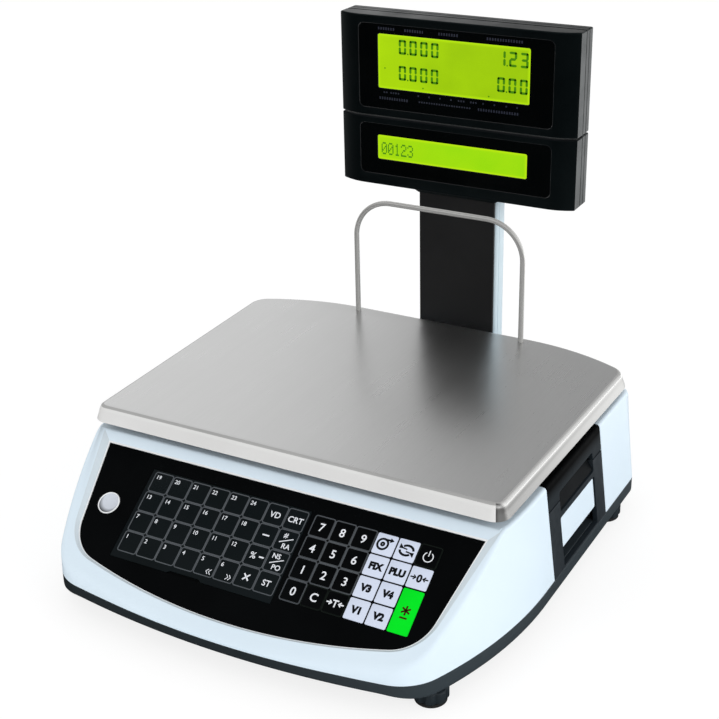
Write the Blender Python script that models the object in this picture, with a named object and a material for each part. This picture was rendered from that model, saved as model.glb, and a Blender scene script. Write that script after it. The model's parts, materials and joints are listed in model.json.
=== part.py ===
"""Retail price scale with a label printer: one object per sub-part.

Metres, +Z up, X to the operator's right, Y away from the operator. The origin is the centre of the
footprint at the level the feet stand on. Lengths are written in millimetres and scaled by MM.
"""

import math

import bmesh
import bpy
from mathutils import Vector

MM = 0.001
GAP = 0.3                      # clearance between neighbouring pieces

# Whole case
BAND_BOTTOM = 16.0             # lower edge of the black base
BAND_TOP = 24.7                # where the base meets the white top case
CASE_FRONT = -209.7            # foremost point of the nose
CASE_SIDE = 184.5              # half width at the base
CASE_REAR = 153.0              # back wall
NOSE_RADIUS = 750.0            # plan curve of the front
CHEEK_RADIUS = 320.0           # plan curve of the flanks towards the front
CHEEK_START = -49.0            # where a flank starts to curve in
NOSE_CORNER = 38.0             # plan radius between nose and flank
REAR_CORNER = 16.0
SIDE_LEAN = 0.12               # the printer-side flank leans in by this much per unit of height
LEFT_LEAN = 0.05               # and the other flank by this much
WALL = 2.6
SHOULDER = 7.0                 # rounding between wall and deck at the nose and the back
SIDE_SHOULDER = 3.0            # the same along the flanks
LIP_INSET = 2.0                # undercut of the base's lower edge
LIP_HEIGHT = 2.5
FLOOR_THICK = 3.0
BASE_RIM = 9.0                 # wall of the tub, wide enough to carry the top case

# Keyboard plane: u runs up the slope, n stands off it, u = n = 0 at the top edge of the keys
SLOPE = math.radians(34.0)
KEY_ORIGIN = (0.0, -116.0, 87.0)
RIM_RISE = 3.2                 # height of the white rim above the keyboard plane
RIDGE_Y = -98.0                # crest between the sloped front and the level deck
PANEL_TOP_U = 13.2
PANEL_TOP_HALF = 160.8
PANEL_SIDE_TAPER = 0.174
PANEL_BOTTOM_U = -96.4
PANEL_BOTTOM_RADIUS = 490.0
PANEL_CORNER = 34.0
PANEL_THICK = 3.0
FLARE_SIDE = 8.5               # the rim opens outwards by this much at the panel's upper corners
FLARE_TOP = 8.6                # above the panel's top edge
FLARE_BOTTOM = 2.0             # and around its lower edge
CABLE_SLOT = (-60.0, 60.0, -62.0, -50.0)     # x and u of the opening for the keyboard's cable

# Keys
KEY_PITCH = 17.0
ROW_PITCH = 17.1
KEY_GAP = 1.1
KEY_THICK = 1.5
KEY_PROUD = 0.3
KEY_TRAVEL_POCKET = 2.2
PRESET_LEFT = -109.0
PRESET_COLUMNS = 8
KEY_ROWS = 4
NUMBER_LEFT = 32.3
NUMBER_COLUMNS = 6
SHEET_MARGINS = (3.0, 1.5, 5.5, 1.5)         # film pocket beyond the keys: left, right, bottom, top
SHEET_DEPTH = 1.0
SHEET_PROUD = 0.2
LEVEL_X = -134.8
LEVEL_U = -34.7
LEVEL_RADIUS = 9.3

# Platter and what carries it
PLATTER_X = -2.5               # the platter sits a little to the left of the case
PLATTER_HALF = 176.0
PLATTER_FRONT = -104.0
PLATTER_REAR = 167.5
PLATTER_REAR_HALF = 178.5      # the platter is a little wider at the rear
PLATTER_SKIRT_Z = 110.0
PLATTER_TOP_Z = 122.0
PLATTER_INSET = 5.5
PLATTER_SHEET = 1.2
PLATTER_REAR_FLAT = 80.0       # half length of the straight part of the rear edge
PLATTER_REAR_RADIUS = 200.0
PLATTER_FRONT_CORNER = 12.0
PLATTER_REAR_CORNER = 20.0
PLATTER_CENTRE_Y = 30.0
PLATTER_EDGE = 5.0             # rounding between skirt and top
GUARD_Y = 154.7
GUARD_HALF = 78.0
GUARD_TOP_Z = 226.5
GUARD_BEND = 33.0
GUARD_WIRE = 2.25
GUARD_FOOT_Z = 113.0
STEM_BOTTOM = 83.0             # where the platter support is bolted to the load cell
STEM = (34.0, 56.0)            # its length in x
STEM_HALF_DEPTH = 14.0
STEM_CLEARANCE = 6.0           # room for it in the deck
CROSS_Z = (107.0, 112.0)       # level of the support's arms
POST_RADIUS = 5.0
POST_PLACES = ((-108.0, -94.0), (108.0, -94.0), (108.0, 94.0), (-108.0, 94.0))
WEIGH_TRAVEL = 0.6             # how far the platter sinks at full load
CELL_BOTTOM = 58.0
CELL_TOP = STEM_BOTTOM - GAP - WEIGH_TRAVEL
CELL_X = (-72.0, 58.0)
CELL_HALF_DEPTH = 15.0
CELL_BORES = (-18.0, 6.0)      # the double bore that lets the cell flex
CELL_BORE_RADIUS = 8.5
CELL_BORE_Z = 70.3
CELL_WEB = 6.0
RISER_LENGTH = 26.0            # pedestal under the cell's fixed end
RISER_HALF_DEPTH = 18.0

# Label printer on the operator's right
DOOR_Y0 = -31.2
DOOR_Y1 = 77.7
DOOR_SPLIT_Z = 81.0
SLOT_Y0 = -9.5
SLOT_Y1 = 58.5
SLOT_Z0 = 71.5
SLOT_Z1 = 87.5
FLAP_Y0 = -10.0
FLAP_Y1 = 57.5
FLAP_Z0 = 41.5
FLAP_Z1 = 66.5
RECESS_Z0 = 26.8
DOOR_THICK = 4.0
COVER_INNER_X = 148.3          # how far the cover reaches over the deck
CASSETTE_X = (96.0, 176.0)     # side plates of the cassette
CASSETTE_PLATE_TOP = 74.0
CASSETTE_PLATE = 3.0
CASSETTE_MARGIN = 8.0
RECESS_BACK = (160.0, 162.5)
RECESS_ROOF = (67.2, 69.2)
FLAP_INSET = 0.8
FLAP_THICK = 2.4
LABEL_ROLL = (123.0, 52.0, 23.0, 12.0)       # centre x and z, radius, core radius
TAKE_UP_SPOOL = (151.0, 38.0, 7.0, 3.0)
PLATEN_ROLLER = (152.5, 70.0, 5.0, 2.0)
ROLL_SIDES = 20
PRINT_HEAD = (140.0, 158.0, 76.0, 80.0)      # x and z

# Electronics on the left: x, y and z ranges
MAIN_BOARD = (-150.0, -86.0, -60.0, 60.0, 24.0, 25.6)
POWER_SUPPLY = (-150.0, -84.0, 70.0, 135.0, 23.0, 52.0)

# Pole and display head
POLE_FRONT = 186.0
POLE_HALF = 35.2
COLUMN_HALF = 37.0
COLUMN_FRONT = 189.0
COLUMN_REAR = 206.0
HEAD_FRONT = 178.2
HEAD_REAR = 209.7
HEAD_HALF = 107.5
HEAD_BOTTOM = 233.4
HEAD_SPLIT = 294.0
HEAD_TOP = 379.5
HEAD_SEAM_Y = 195.0
HEAD_WALL = 2.5
HEAD_CURVE_LENGTH = 22.5       # the front curves back over this length at both ends
HEAD_CURVE_DEPTH = 6.0
WINDOW_RADIUS = 5.0
UNIT_GAP = 0.8                 # between the two display units
UPPER_WINDOW = (-88.0, 88.0, 301.0, 373.0)   # x and z ranges
LOWER_WINDOW = (-88.0, 88.0, 243.0, 288.0)
UPPER_LCD = (-69.7, 67.1, 318.9, 364.4)
LOWER_LCD = (-71.1, 66.5, 256.7, 277.7)
COLUMN_WALL = 3.0
COLUMN_FOOT_Z = 24.3
BRACKET_HALF = 43.0
BRACKET_Z = (17.0, 62.0)
BRACKET_REAR = 209.0
BRACKET_FLOOR = 24.0
BRACKET_RELIEF_HALF = 30.0

# Feet
FEET = {"front_left": (-149.0, -167.0), "front_right": (149.0, -167.0),
        "rear_left": (-171.0, 114.0), "rear_right": (171.0, 114.0)}
KNOB_RADIUS = 13.0
KNOB_Z = (3.0, 13.0)
KNOB_FLUTE = 1.3
KNOB_SIDES = 32
STUD_RADIUS = 3.9
PAD_RADIUS = 11.5
PAD_HEIGHT = 2.7
BOSS_RADIUS = 6.2
BOSS_BORE = 4.5
BOSS_TOP = 29.0


# ---------------------------------------------------------------- materials

def material(name, colour, roughness, metallic=0.0):
    mat = bpy.data.materials.get(name) or bpy.data.materials.new(name)
    mat.use_nodes = True
    shader = mat.node_tree.nodes["Principled BSDF"]
    shader.inputs["Base Color"].default_value = (*colour, 1.0)
    shader.inputs["Roughness"].default_value = roughness
    shader.inputs["Metallic"].default_value = metallic
    mat.diffuse_color = (*colour, 1.0)
    return mat


WHITE = material("white_plastic", (0.80, 0.90, 0.95), 0.35)
BLACK = material("black_plastic", (0.02, 0.025, 0.03), 0.4)
GLOSS = material("gloss_black", (0.008, 0.009, 0.01), 0.12)
STEEL = material("brushed_steel", (0.60, 0.60, 0.60), 0.3, 1.0)
ALLOY = material("cast_aluminium", (0.62, 0.64, 0.66), 0.45, 1.0)
COLUMN = material("column_paint", (0.66, 0.75, 0.80), 0.4)
LCD = material("lcd_green", (0.36, 0.65, 0.01), 0.3)
KEY_WHITE = material("key_white", (0.76, 0.82, 0.93), 0.4)
KEY_BLACK = material("key_black", (0.015, 0.017, 0.02), 0.4)
KEY_GREEN = material("key_green", (0.01, 0.85, 0.05), 0.4)
RUBBER = material("rubber", (0.03, 0.03, 0.03), 0.8)
PAPER = material("paper", (0.9, 0.9, 0.88), 0.7)
BOARD = material("board", (0.02, 0.18, 0.08), 0.5)
SILVER = material("silver_lens", (0.75, 0.76, 0.78), 0.15, 1.0)


# ---------------------------------------------------------------- mesh helpers

def finish(name, bm, mat, origin=(0.0, 0.0, 0.0), smooth=False):
    """Make an object from a mesh given in millimetres, with its origin at a point in millimetres."""
    bmesh.ops.remove_doubles(bm, verts=bm.verts, dist=0.0005)
    bmesh.ops.recalc_face_normals(bm, faces=bm.faces)
    base = Vector(origin)
    for vert in bm.verts:
        vert.co = (vert.co - base) * MM
    mesh = bpy.data.meshes.new(name)
    bm.to_mesh(mesh)
    bm.free()
    if smooth:
        mesh.shade_smooth()
        mesh.set_sharp_from_angle(angle=math.radians(35))
    mesh.materials.append(mat)
    obj = bpy.data.objects.new(name, mesh)
    obj.location = base * MM
    bpy.context.scene.collection.objects.link(obj)
    return obj


def cut(obj, tool, operation="DIFFERENCE"):
    """Add a Boolean with a hidden tool object."""
    tool.hide_render = True
    tool.display_type = "WIRE"
    mod = obj.modifiers.new(operation.lower(), "BOOLEAN")
    mod.operation = operation
    mod.object = tool
    return obj


def loft(rings):
    """Closed solid through rings of equally many points, with flat caps."""
    bm = bmesh.new()
    rows = [[bm.verts.new(p) for p in ring] for ring in rings]
    count = len(rows[0])
    for low, high in zip(rows, rows[1:]):
        for i in range(count):
            j = (i + 1) % count
            bm.faces.new((low[i], low[j], high[j], high[i]))
    bm.faces.new(rows[0][::-1])
    bm.faces.new(rows[-1])
    return bm


def prism(outline, low, high, axis="z"):
    """Extrude a 2D outline between two levels along z, y or x."""
    def place(p, level):
        if axis == "z":
            return (p[0], p[1], level)
        if axis == "y":
            return (p[0], level, p[1])
        return (level, p[0], p[1])
    return loft([[place(p, low) for p in outline], [place(p, high) for p in outline]])


def block(x0, x1, y0, y1, z0, z1):
    return prism([(x0, y0), (x1, y0), (x1, y1), (x0, y1)], z0, z1)


def circle(cx, cy, radius, count):
    return [(cx + radius * math.cos(2 * math.pi * i / count), cy + radius * math.sin(2 * math.pi * i / count))
            for i in range(count)]


def rounded_rectangle(x0, x1, y0, y1, radius, steps=3):
    corners = [(x1 - radius, y0 + radius, -90), (x1 - radius, y1 - radius, 0),
               (x0 + radius, y1 - radius, 90), (x0 + radius, y0 + radius, 180)]
    points = []
    for cx, cy, start in corners:
        for i in range(steps + 1):
            angle = math.radians(start + 90 * i / steps)
            points.append((cx + radius * math.cos(angle), cy + radius * math.sin(angle)))
    return points


def arc(centre, radius, start, end, steps):
    """Points on an arc, angles in radians, both ends included."""
    return [(centre[0] + radius * math.cos(start + (end - start) * i / steps),
             centre[1] + radius * math.sin(start + (end - start) * i / steps)) for i in range(steps + 1)]


def heading(centre, point):
    return math.atan2(point[1] - centre[1], point[0] - centre[0])


def inner_fillet(c1, r1, c2, r2, r):
    """Centre of a circle of radius r inside two larger circles and touching both, on their +X -Y side."""
    d1, d2 = r1 - r, r2 - r
    dx, dy = c2[0] - c1[0], c2[1] - c1[1]
    dist = math.hypot(dx, dy)
    along = (d1 * d1 - d2 * d2 + dist * dist) / (2 * dist)
    off = math.sqrt(max(d1 * d1 - along * along, 0.0))
    mid = (c1[0] + dx * along / dist, c1[1] + dy * along / dist)
    options = [(mid[0] + s * off * dy / dist, mid[1] - s * off * dx / dist) for s in (1, -1)]
    return max(options, key=lambda p: p[0] - p[1])


def mirrored(right_half):
    """Full outline from its right half, listed from front to back."""
    return right_half + [(-x, y) for x, y in reversed(right_half) if x > 1e-6]


def offset_outline(outline, distance):
    """Move a counter-clockwise outline inwards along its corner bisectors."""
    moved = []
    count = len(outline)
    for i in range(count):
        ax, ay = outline[i - 1]
        bx, by = outline[i]
        cx, cy = outline[(i + 1) % count]
        n1 = Vector((ay - by, bx - ax)).normalized()
        n2 = Vector((by - cy, cx - bx)).normalized()
        bisector = (n1 + n2).normalized()
        step = distance / max(bisector.dot(n1), 0.5)
        moved.append((bx + bisector.x * step, by + bisector.y * step))
    return moved


# ---------------------------------------------------------------- case outline and deck

def case_outline(steps=6):
    """Plan outline of the case at the base, counter-clockwise from the middle of the nose."""
    nose_c = (0.0, CASE_FRONT + NOSE_RADIUS)
    cheek_c = (CASE_SIDE - CHEEK_RADIUS, CHEEK_START)
    corner_c = inner_fillet(nose_c, NOSE_RADIUS, cheek_c, CHEEK_RADIUS, NOSE_CORNER)
    nose_end = heading(nose_c, corner_c)
    cheek_end = heading(cheek_c, corner_c)
    points = arc(nose_c, NOSE_RADIUS, -math.pi / 2, nose_end, steps)
    points += arc(corner_c, NOSE_CORNER, nose_end, cheek_end, steps)[1:]
    points += arc(cheek_c, CHEEK_RADIUS, cheek_end, 0.0, steps)[1:]
    rear_c = (CASE_SIDE - REAR_CORNER, CASE_REAR - REAR_CORNER)
    points += arc(rear_c, REAR_CORNER, 0.0, math.pi / 2, steps // 2 + 1)
    return mirrored(points)


def plane_z(y):
    return KEY_ORIGIN[2] + (y - KEY_ORIGIN[1]) * math.tan(SLOPE)


def deck_z(y):
    return plane_z(min(y, RIDGE_Y)) + RIM_RISE


DECK_TOP = deck_z(RIDGE_Y)


def side_x(z):
    """Half width of the leaning flank at a height."""
    return CASE_SIDE - SIDE_LEAN * (z - BAND_TOP)


def inward(outline):
    """Unit inward direction at each outline point."""
    shifted = offset_outline(outline, 1.0)
    return [(Vector(b) - Vector(a)).normalized() for a, b in zip(outline, shifted)]


def shoulder_profile(point, direction, steps):
    """Wall and rounded shoulder above one outline point, from the base up to the deck."""
    px, py = point
    lean = (LEFT_LEAN if direction.x > 0.0 else SIDE_LEAN) * abs(direction.x)
    shoulder = SHOULDER + (SIDE_SHOULDER - SHOULDER) * abs(direction.x)
    rise = direction.y * math.tan(SLOPE) if py < RIDGE_Y else 0.0
    corner_z = (deck_z(py) - BAND_TOP * rise * lean) / (1.0 - rise * lean)
    corner_d = lean * (corner_z - BAND_TOP)
    low_z = corner_z - min(shoulder, 0.8 * (corner_z - BAND_TOP))
    low_d = lean * (low_z - BAND_TOP)
    high_d = corner_d + shoulder
    high_z = deck_z(py + direction.y * high_d)
    profile = [(0.0, BAND_TOP)]
    for i in range(steps + 1):
        t = i / steps
        d = (1 - t) ** 2 * low_d + 2 * t * (1 - t) * corner_d + t * t * high_d
        z = (1 - t) ** 2 * low_z + 2 * t * (1 - t) * corner_z + t * t * high_z
        profile.append((d, z))
    return [(px + direction.x * d, py + direction.y * d, z) for d, z in profile]


def case_shell_solid(steps=3):
    """Outer form of the top case: leaning walls, rounded shoulder, sloped front and level deck."""
    outline = case_outline()
    profiles = [shoulder_profile(p, m, steps) for p, m in zip(outline, inward(outline))]
    bm = loft(list(zip(*profiles)))
    cap = max(bm.faces, key=lambda f: f.calc_center_median().z * len(f.verts))
    parts = [cap, *cap.edges, *cap.verts]
    split = bmesh.ops.bisect_plane(bm, geom=parts, plane_co=(0, RIDGE_Y, 0), plane_no=(0, 1, 0))
    for item in split["geom_cut"]:
        if isinstance(item, bmesh.types.BMVert):
            item.co.z = DECK_TOP
    return bm


def case_cavity():
    """Room inside the top case: the outline moved in by the wall, under the deck and the panel well."""
    outline = offset_outline(case_outline(), WALL)
    top = DECK_TOP - WALL
    height = top - BAND_TOP
    upper = [(p[0] + m.x * SIDE_LEAN * abs(m.x) * height, p[1] + m.y * SIDE_LEAN * abs(m.x) * height)
             for p, m in zip(outline, inward(outline))]
    low_z = BAND_TOP - 1.0
    bm = loft([[(x, y, low_z) for x, y in outline], [(x, y, top) for x, y in upper]])
    drop = (RIM_RISE * math.cos(SLOPE) + PANEL_THICK + GAP + 2.0) / math.cos(SLOPE)
    anchor = (0.0, KEY_ORIGIN[1], KEY_ORIGIN[2] + RIM_RISE - drop)
    normal = (0.0, -math.sin(SLOPE), math.cos(SLOPE))
    everything = [*bm.verts, *bm.edges, *bm.faces]
    bmesh.ops.bisect_plane(bm, geom=everything, plane_co=anchor, plane_no=normal, clear_outer=True)
    bmesh.ops.holes_fill(bm, edges=[e for e in bm.edges if e.is_boundary])
    return bm


# ---------------------------------------------------------------- keyboard plane

def on_panel(x, u, n):
    """World point, in millimetres, of a place on the keyboard plane."""
    return (x, KEY_ORIGIN[1] + u * math.cos(SLOPE) - n * math.sin(SLOPE),
            KEY_ORIGIN[2] + u * math.sin(SLOPE) + n * math.cos(SLOPE))


def panel_solid(outline, n0, n1):
    return loft([[on_panel(x, u, n0) for x, u in outline], [on_panel(x, u, n1) for x, u in outline]])


def panel_outline(steps=6):
    """Outline of the keyboard panel in x and u, counter-clockwise."""
    bottom_c = (0.0, PANEL_BOTTOM_U + PANEL_BOTTOM_RADIUS)
    lean = math.atan(PANEL_SIDE_TAPER)
    side = Vector((-math.sin(lean), -math.cos(lean)))
    inner = Vector((-math.cos(lean), math.sin(lean)))
    foot = Vector((PANEL_TOP_HALF, PANEL_TOP_U)) + inner * PANEL_CORNER
    # the corner's centre lies on the line parallel to the side and inside the bottom arc
    rel = foot - Vector(bottom_c)
    reach = PANEL_BOTTOM_RADIUS - PANEL_CORNER
    b = rel.dot(side)
    travel = -b + math.sqrt(b * b - rel.dot(rel) + reach * reach)
    corner_c = foot + side * travel
    bottom_end = heading(bottom_c, corner_c)
    points = arc(bottom_c, PANEL_BOTTOM_RADIUS, -math.pi / 2, bottom_end, steps)
    points += arc(corner_c, PANEL_CORNER, bottom_end, -lean, steps)[1:]
    points.append((PANEL_TOP_HALF, PANEL_TOP_U))
    return mirrored(points)


def flared(outline, scale):
    """The panel outline opened outwards as it rises to the rim."""
    moved = []
    for (x, u), m in zip(outline, inward(outline)):
        if u > PANEL_TOP_U - 0.1:
            moved.append((x + math.copysign(FLARE_SIDE * scale, x), u + FLARE_TOP * scale))
        else:
            share = max(0.0, (u - PANEL_BOTTOM_U) / (PANEL_TOP_U - PANEL_BOTTOM_U))
            width = FLARE_BOTTOM + (FLARE_SIDE - FLARE_BOTTOM) * share ** 1.4
            moved.append((x - m.x * width * scale, u - m.y * width * scale))
    return moved


def panel_well():
    """Cutter for the sunken place of the keyboard panel, with its flared rim."""
    outline = panel_outline()
    rise = RIM_RISE * math.cos(SLOPE)
    floor = -(PANEL_THICK + GAP)
    rings = [[on_panel(x, u, floor) for x, u in outline],
             [on_panel(x, u, 0.0) for x, u in outline],
             [on_panel(x, u, 2.0 * rise) for x, u in flared(outline, 2.0)]]
    return loft(rings)


# ---------------------------------------------------------------- case

def door_notch(margin, low, high, inner_x=148.0):
    return block(inner_x, 230.0, DOOR_Y0 - margin, DOOR_Y1 + margin, low, high)


def make_top_case():
    shell = finish("top_case", case_shell_solid(), WHITE)
    cut(shell, finish("cut_top_cavity", case_cavity(), WHITE))
    cut(shell, finish("cut_panel_well", panel_well(), WHITE))
    cut(shell, finish("cut_door_notch", door_notch(GAP, 10.0, 130.0), WHITE))
    depth = STEM_HALF_DEPTH + STEM_CLEARANCE
    stem = block(STEM[0] - STEM_CLEARANCE, STEM[1] + STEM_CLEARANCE, PLATTER_CENTRE_Y - depth,
                 PLATTER_CENTRE_Y + depth, 80.0, 130.0)
    cut(shell, finish("cut_stem_opening", stem, WHITE))
    cable = panel_solid(rounded_rectangle(*CABLE_SLOT, 3, 1), -12.0, -1.0)
    cut(shell, finish("cut_keyboard_cable", cable, WHITE))


def make_base_case():
    """Black tub: undercut outer band, floor, tongue inside the top case, foot bosses and cell riser."""
    outline = case_outline()
    lower = offset_outline(outline, LIP_INSET)
    top = BAND_TOP - GAP
    outer = loft([[(x, y, BAND_BOTTOM) for x, y in lower], [(x, y, BAND_BOTTOM + LIP_HEIGHT) for x, y in outline],
                  [(x, y, top) for x, y in outline]])
    base = finish("base_case", outer, BLACK)
    pocket = prism(offset_outline(outline, BASE_RIM), BAND_BOTTOM + FLOOR_THICK, top + 10.0)
    cut(base, finish("cut_base_pocket", pocket, BLACK))
    for name, (x, y) in FEET.items():
        boss = prism(circle(x, y, BOSS_RADIUS, 12), BAND_BOTTOM + 1.0, BOSS_TOP)
        cut(base, finish("add_boss_" + name, boss, BLACK), "UNION")
        bore = prism(circle(x, y, BOSS_BORE, 12), 0.0, 60.0)
        cut(base, finish("cut_bore_" + name, bore, BLACK))
    riser = block(CELL_X[0], CELL_X[0] + RISER_LENGTH, PLATTER_CENTRE_Y - RISER_HALF_DEPTH,
                  PLATTER_CENTRE_Y + RISER_HALF_DEPTH, BAND_BOTTOM + 1.0, CELL_BOTTOM - GAP)
    cut(base, finish("add_cell_riser", riser, BLACK), "UNION")


def make_feet():
    """A rubber pad that slides up and down, and the knob and stud that turn on it."""
    for name, (x, y) in FEET.items():
        finish("foot_pad_" + name, prism(circle(x, y, PAD_RADIUS, 16), 0.0, PAD_HEIGHT), RUBBER, (x, y, 0.0), True)
        knob = []
        for i in range(KNOB_SIDES):
            radius = KNOB_RADIUS - (KNOB_FLUTE if i % 4 in (0, 1) else 0.0)
            angle = 2 * math.pi * i / KNOB_SIDES
            knob.append((x + radius * math.cos(angle), y + radius * math.sin(angle)))
        stud = circle(x, y, STUD_RADIUS, KNOB_SIDES)
        bottom, top = KNOB_Z
        rings = [[(*p, bottom) for p in knob], [(*p, top) for p in knob],
                 [(*p, top + 0.4) for p in stud], [(*p, BOSS_TOP - 2.0) for p in stud]]
        finish("foot_screw_" + name, loft(rings), BLACK, (x, y, bottom))


# ---------------------------------------------------------------- keyboard

def key_cell(left, column, row, columns=1, rows=1):
    """x0, x1, u0, u1 of a key; row 0 is the top row."""
    x0 = left + column * KEY_PITCH + KEY_GAP / 2
    x1 = left + (column + columns) * KEY_PITCH - KEY_GAP / 2
    u1 = -row * ROW_PITCH - KEY_GAP / 2
    u0 = -(row + rows) * ROW_PITCH + KEY_GAP / 2
    return x0, x1, u0, u1


def make_keyboard_panel():
    panel = finish("keyboard_panel", panel_solid(offset_outline(panel_outline(), GAP), -PANEL_THICK, 0.0), GLOSS)
    depth = KEY_ROWS * ROW_PITCH
    x1 = NUMBER_LEFT + NUMBER_COLUMNS * KEY_PITCH
    well = panel_solid([(NUMBER_LEFT, -depth), (x1, -depth), (x1, 0.0), (NUMBER_LEFT, 0.0)],
                       -KEY_TRAVEL_POCKET, 5.0)
    cut(panel, finish("cut_key_well", well, GLOSS))
    left, right, bottom, top = SHEET_MARGINS
    x0 = PRESET_LEFT - left
    x1 = PRESET_LEFT + PRESET_COLUMNS * KEY_PITCH + right
    sheet = [(x0, -depth - bottom), (x1, -depth - bottom), (x1, top), (x0, top)]
    cut(panel, finish("cut_sheet_well", panel_solid(sheet, -SHEET_DEPTH, 5.0), GLOSS))
    lens = panel_solid(circle(LEVEL_X, LEVEL_U, LEVEL_RADIUS, 20), -8.0, 5.0)
    cut(panel, finish("cut_level_hole", lens, GLOSS))
    inner = offset_outline(sheet, GAP)
    finish("preset_sheet", panel_solid(inner, GAP - SHEET_DEPTH, SHEET_PROUD), KEY_BLACK, on_panel(x0, 0, 0))
    lens = circle(LEVEL_X, LEVEL_U, LEVEL_RADIUS - GAP, 20)
    dome = circle(LEVEL_X, LEVEL_U, LEVEL_RADIUS - 1.8, 20)
    rings = [[on_panel(x, u, -PANEL_THICK) for x, u in lens], [on_panel(x, u, 0.2) for x, u in lens],
             [on_panel(x, u, 0.9) for x, u in dome]]
    finish("spirit_level", loft(rings), SILVER, on_panel(LEVEL_X, LEVEL_U, 0.0), True)


NUMBER_KEYS = [
    ["key_7", "key_8", "key_9", "key_feed", "key_swap", "key_power"],
    ["key_4", "key_5", "key_6", "key_fix", "key_plu", "key_zero"],
    ["key_1", "key_2", "key_3", "key_v3", "key_v4", "key_print"],
    ["key_0", "key_clear", "key_tare", "key_v1", "key_v2", None],
]
PALE_KEYS = ("key_feed", "key_swap", "key_fix", "key_plu", "key_zero", "key_v1", "key_v2", "key_v3", "key_v4")


def make_keys():
    """Keys that travel into the panel, each with its origin at the middle of its face."""
    for row, names in enumerate(NUMBER_KEYS):
        for column, name in enumerate(names):
            if name is None:
                continue
            tall = 2 if name == "key_print" else 1
            x0, x1, u0, u1 = key_cell(NUMBER_LEFT, column, row, rows=tall)
            mat = KEY_BLACK
            if name in PALE_KEYS:
                mat = KEY_WHITE
            if name == "key_print":
                mat = KEY_GREEN
            face = [(x0, u0), (x1, u0), (x1, u1), (x0, u1)]
            body = panel_solid(face, KEY_PROUD - KEY_THICK, KEY_PROUD)
            centre = on_panel((x0 + x1) / 2, (u0 + u1) / 2, KEY_PROUD)
            finish(name, body, mat, centre)


# ---------------------------------------------------------------- weighing parts

def platter_outline(steps=4):
    front_c = (PLATTER_HALF - PLATTER_FRONT_CORNER, PLATTER_FRONT + PLATTER_FRONT_CORNER)
    points = arc(front_c, PLATTER_FRONT_CORNER, -math.pi / 2, 0.0, steps)
    rear_c = (PLATTER_REAR_FLAT, PLATTER_REAR - PLATTER_REAR_RADIUS)
    reach = PLATTER_REAR_RADIUS - PLATTER_REAR_CORNER
    cx = PLATTER_REAR_HALF - PLATTER_REAR_CORNER
    corner_c = (cx, rear_c[1] + math.sqrt(reach ** 2 - (cx - rear_c[0]) ** 2))
    turn = heading(rear_c, corner_c)
    points += arc(corner_c, PLATTER_REAR_CORNER, 0.0, turn, steps)
    points += arc(rear_c, PLATTER_REAR_RADIUS, turn, math.pi / 2, steps)[1:]
    outline = mirrored([(0.001, PLATTER_FRONT)] + points)[1:]
    return [(x + PLATTER_X, y) for x, y in outline]


def platter_form(shrink, lower, steps=3):
    """Tray form: a sloping skirt and a rounded edge up to the flat top."""
    outline = offset_outline(platter_outline(), shrink)
    edge = PLATTER_EDGE
    rings = [[(x, y, PLATTER_SKIRT_Z - lower) for x, y in outline]]
    skirt = PLATTER_INSET * 0.45
    for i in range(steps + 1):
        t = i / steps
        inset = skirt * (1 - t) ** 2 + 2 * t * (1 - t) * (skirt + 1.2) + t * t * (skirt + edge)
        z = PLATTER_TOP_Z - edge * (1 - t) ** 2 - shrink
        ring = offset_outline(outline, inset)
        rings.append([(x, y, z) for x, y in ring])
    return loft(rings)


def make_platter():
    platter = finish("platter", platter_form(0.0, 0.0), STEEL, (PLATTER_X, PLATTER_CENTRE_Y, PLATTER_SKIRT_Z))
    cut(platter, finish("cut_platter_inside", platter_form(PLATTER_SHEET, 5.0), STEEL))
    for name, x in (("left", PLATTER_X - GUARD_HALF), ("right", PLATTER_X + GUARD_HALF)):
        hole = prism(circle(x, GUARD_Y, GUARD_WIRE + GAP, 12), 100.0, 140.0)
        cut(platter, finish("cut_guard_hole_" + name, hole, STEEL))


def make_platter_support():
    """Cast cross between the load cell and the platter, with four rubber-tipped posts."""
    y = PLATTER_CENTRE_Y
    arms = [(-120.0, y - 92), (-104.0, y - 104), (0.0, y - 22), (104.0, y - 104), (120.0, y - 92),
            (40.0, y), (120.0, y + 92), (104.0, y + 104), (0.0, y + 22), (-104.0, y + 104),
            (-120.0, y + 92), (-40.0, y)]
    low, high = CROSS_Z
    cross = finish("platter_support", prism(arms, low, high), ALLOY, (0.0, y, low))
    top = PLATTER_TOP_Z - PLATTER_SHEET - GAP
    for i, (x, dy) in enumerate(POST_PLACES):
        post = prism(circle(x, y + dy, POST_RADIUS, 10), low + 2.0, top)
        cut(cross, finish(f"add_post_{i}", post, ALLOY), "UNION")
    y0, y1 = y - STEM_HALF_DEPTH, y + STEM_HALF_DEPTH
    stem = block(*STEM, y0, y1, STEM_BOTTOM, low + 2.0)
    cut(cross, finish("add_stem", stem, ALLOY), "UNION")
    bridge = block(-10.0, STEM[1], y0, y1, low, high - 1.0)
    cut(cross, finish("add_bridge", bridge, ALLOY), "UNION")


def make_load_cell():
    """Single-point cell: a bar with the usual double bore that lets it flex."""
    y = PLATTER_CENTRE_Y
    bar = block(*CELL_X, y - CELL_HALF_DEPTH, y + CELL_HALF_DEPTH, CELL_BOTTOM, CELL_TOP)
    cell = finish("load_cell", bar, ALLOY, (CELL_X[0] + RISER_LENGTH / 2, y, 70.0))
    y0, y1 = y - 2 * CELL_HALF_DEPTH, y + 2 * CELL_HALF_DEPTH
    for name, x in zip(("left", "right"), CELL_BORES):
        bore = prism(circle(x, CELL_BORE_Z, CELL_BORE_RADIUS, 16), y0, y1, axis="y")
        cut(cell, finish("cut_cell_bore_" + name, bore, ALLOY))
    web = block(*CELL_BORES, y0, y1, CELL_BORE_Z - CELL_WEB / 2, CELL_BORE_Z + CELL_WEB / 2)
    cut(cell, finish("cut_cell_web", web, ALLOY))


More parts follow.
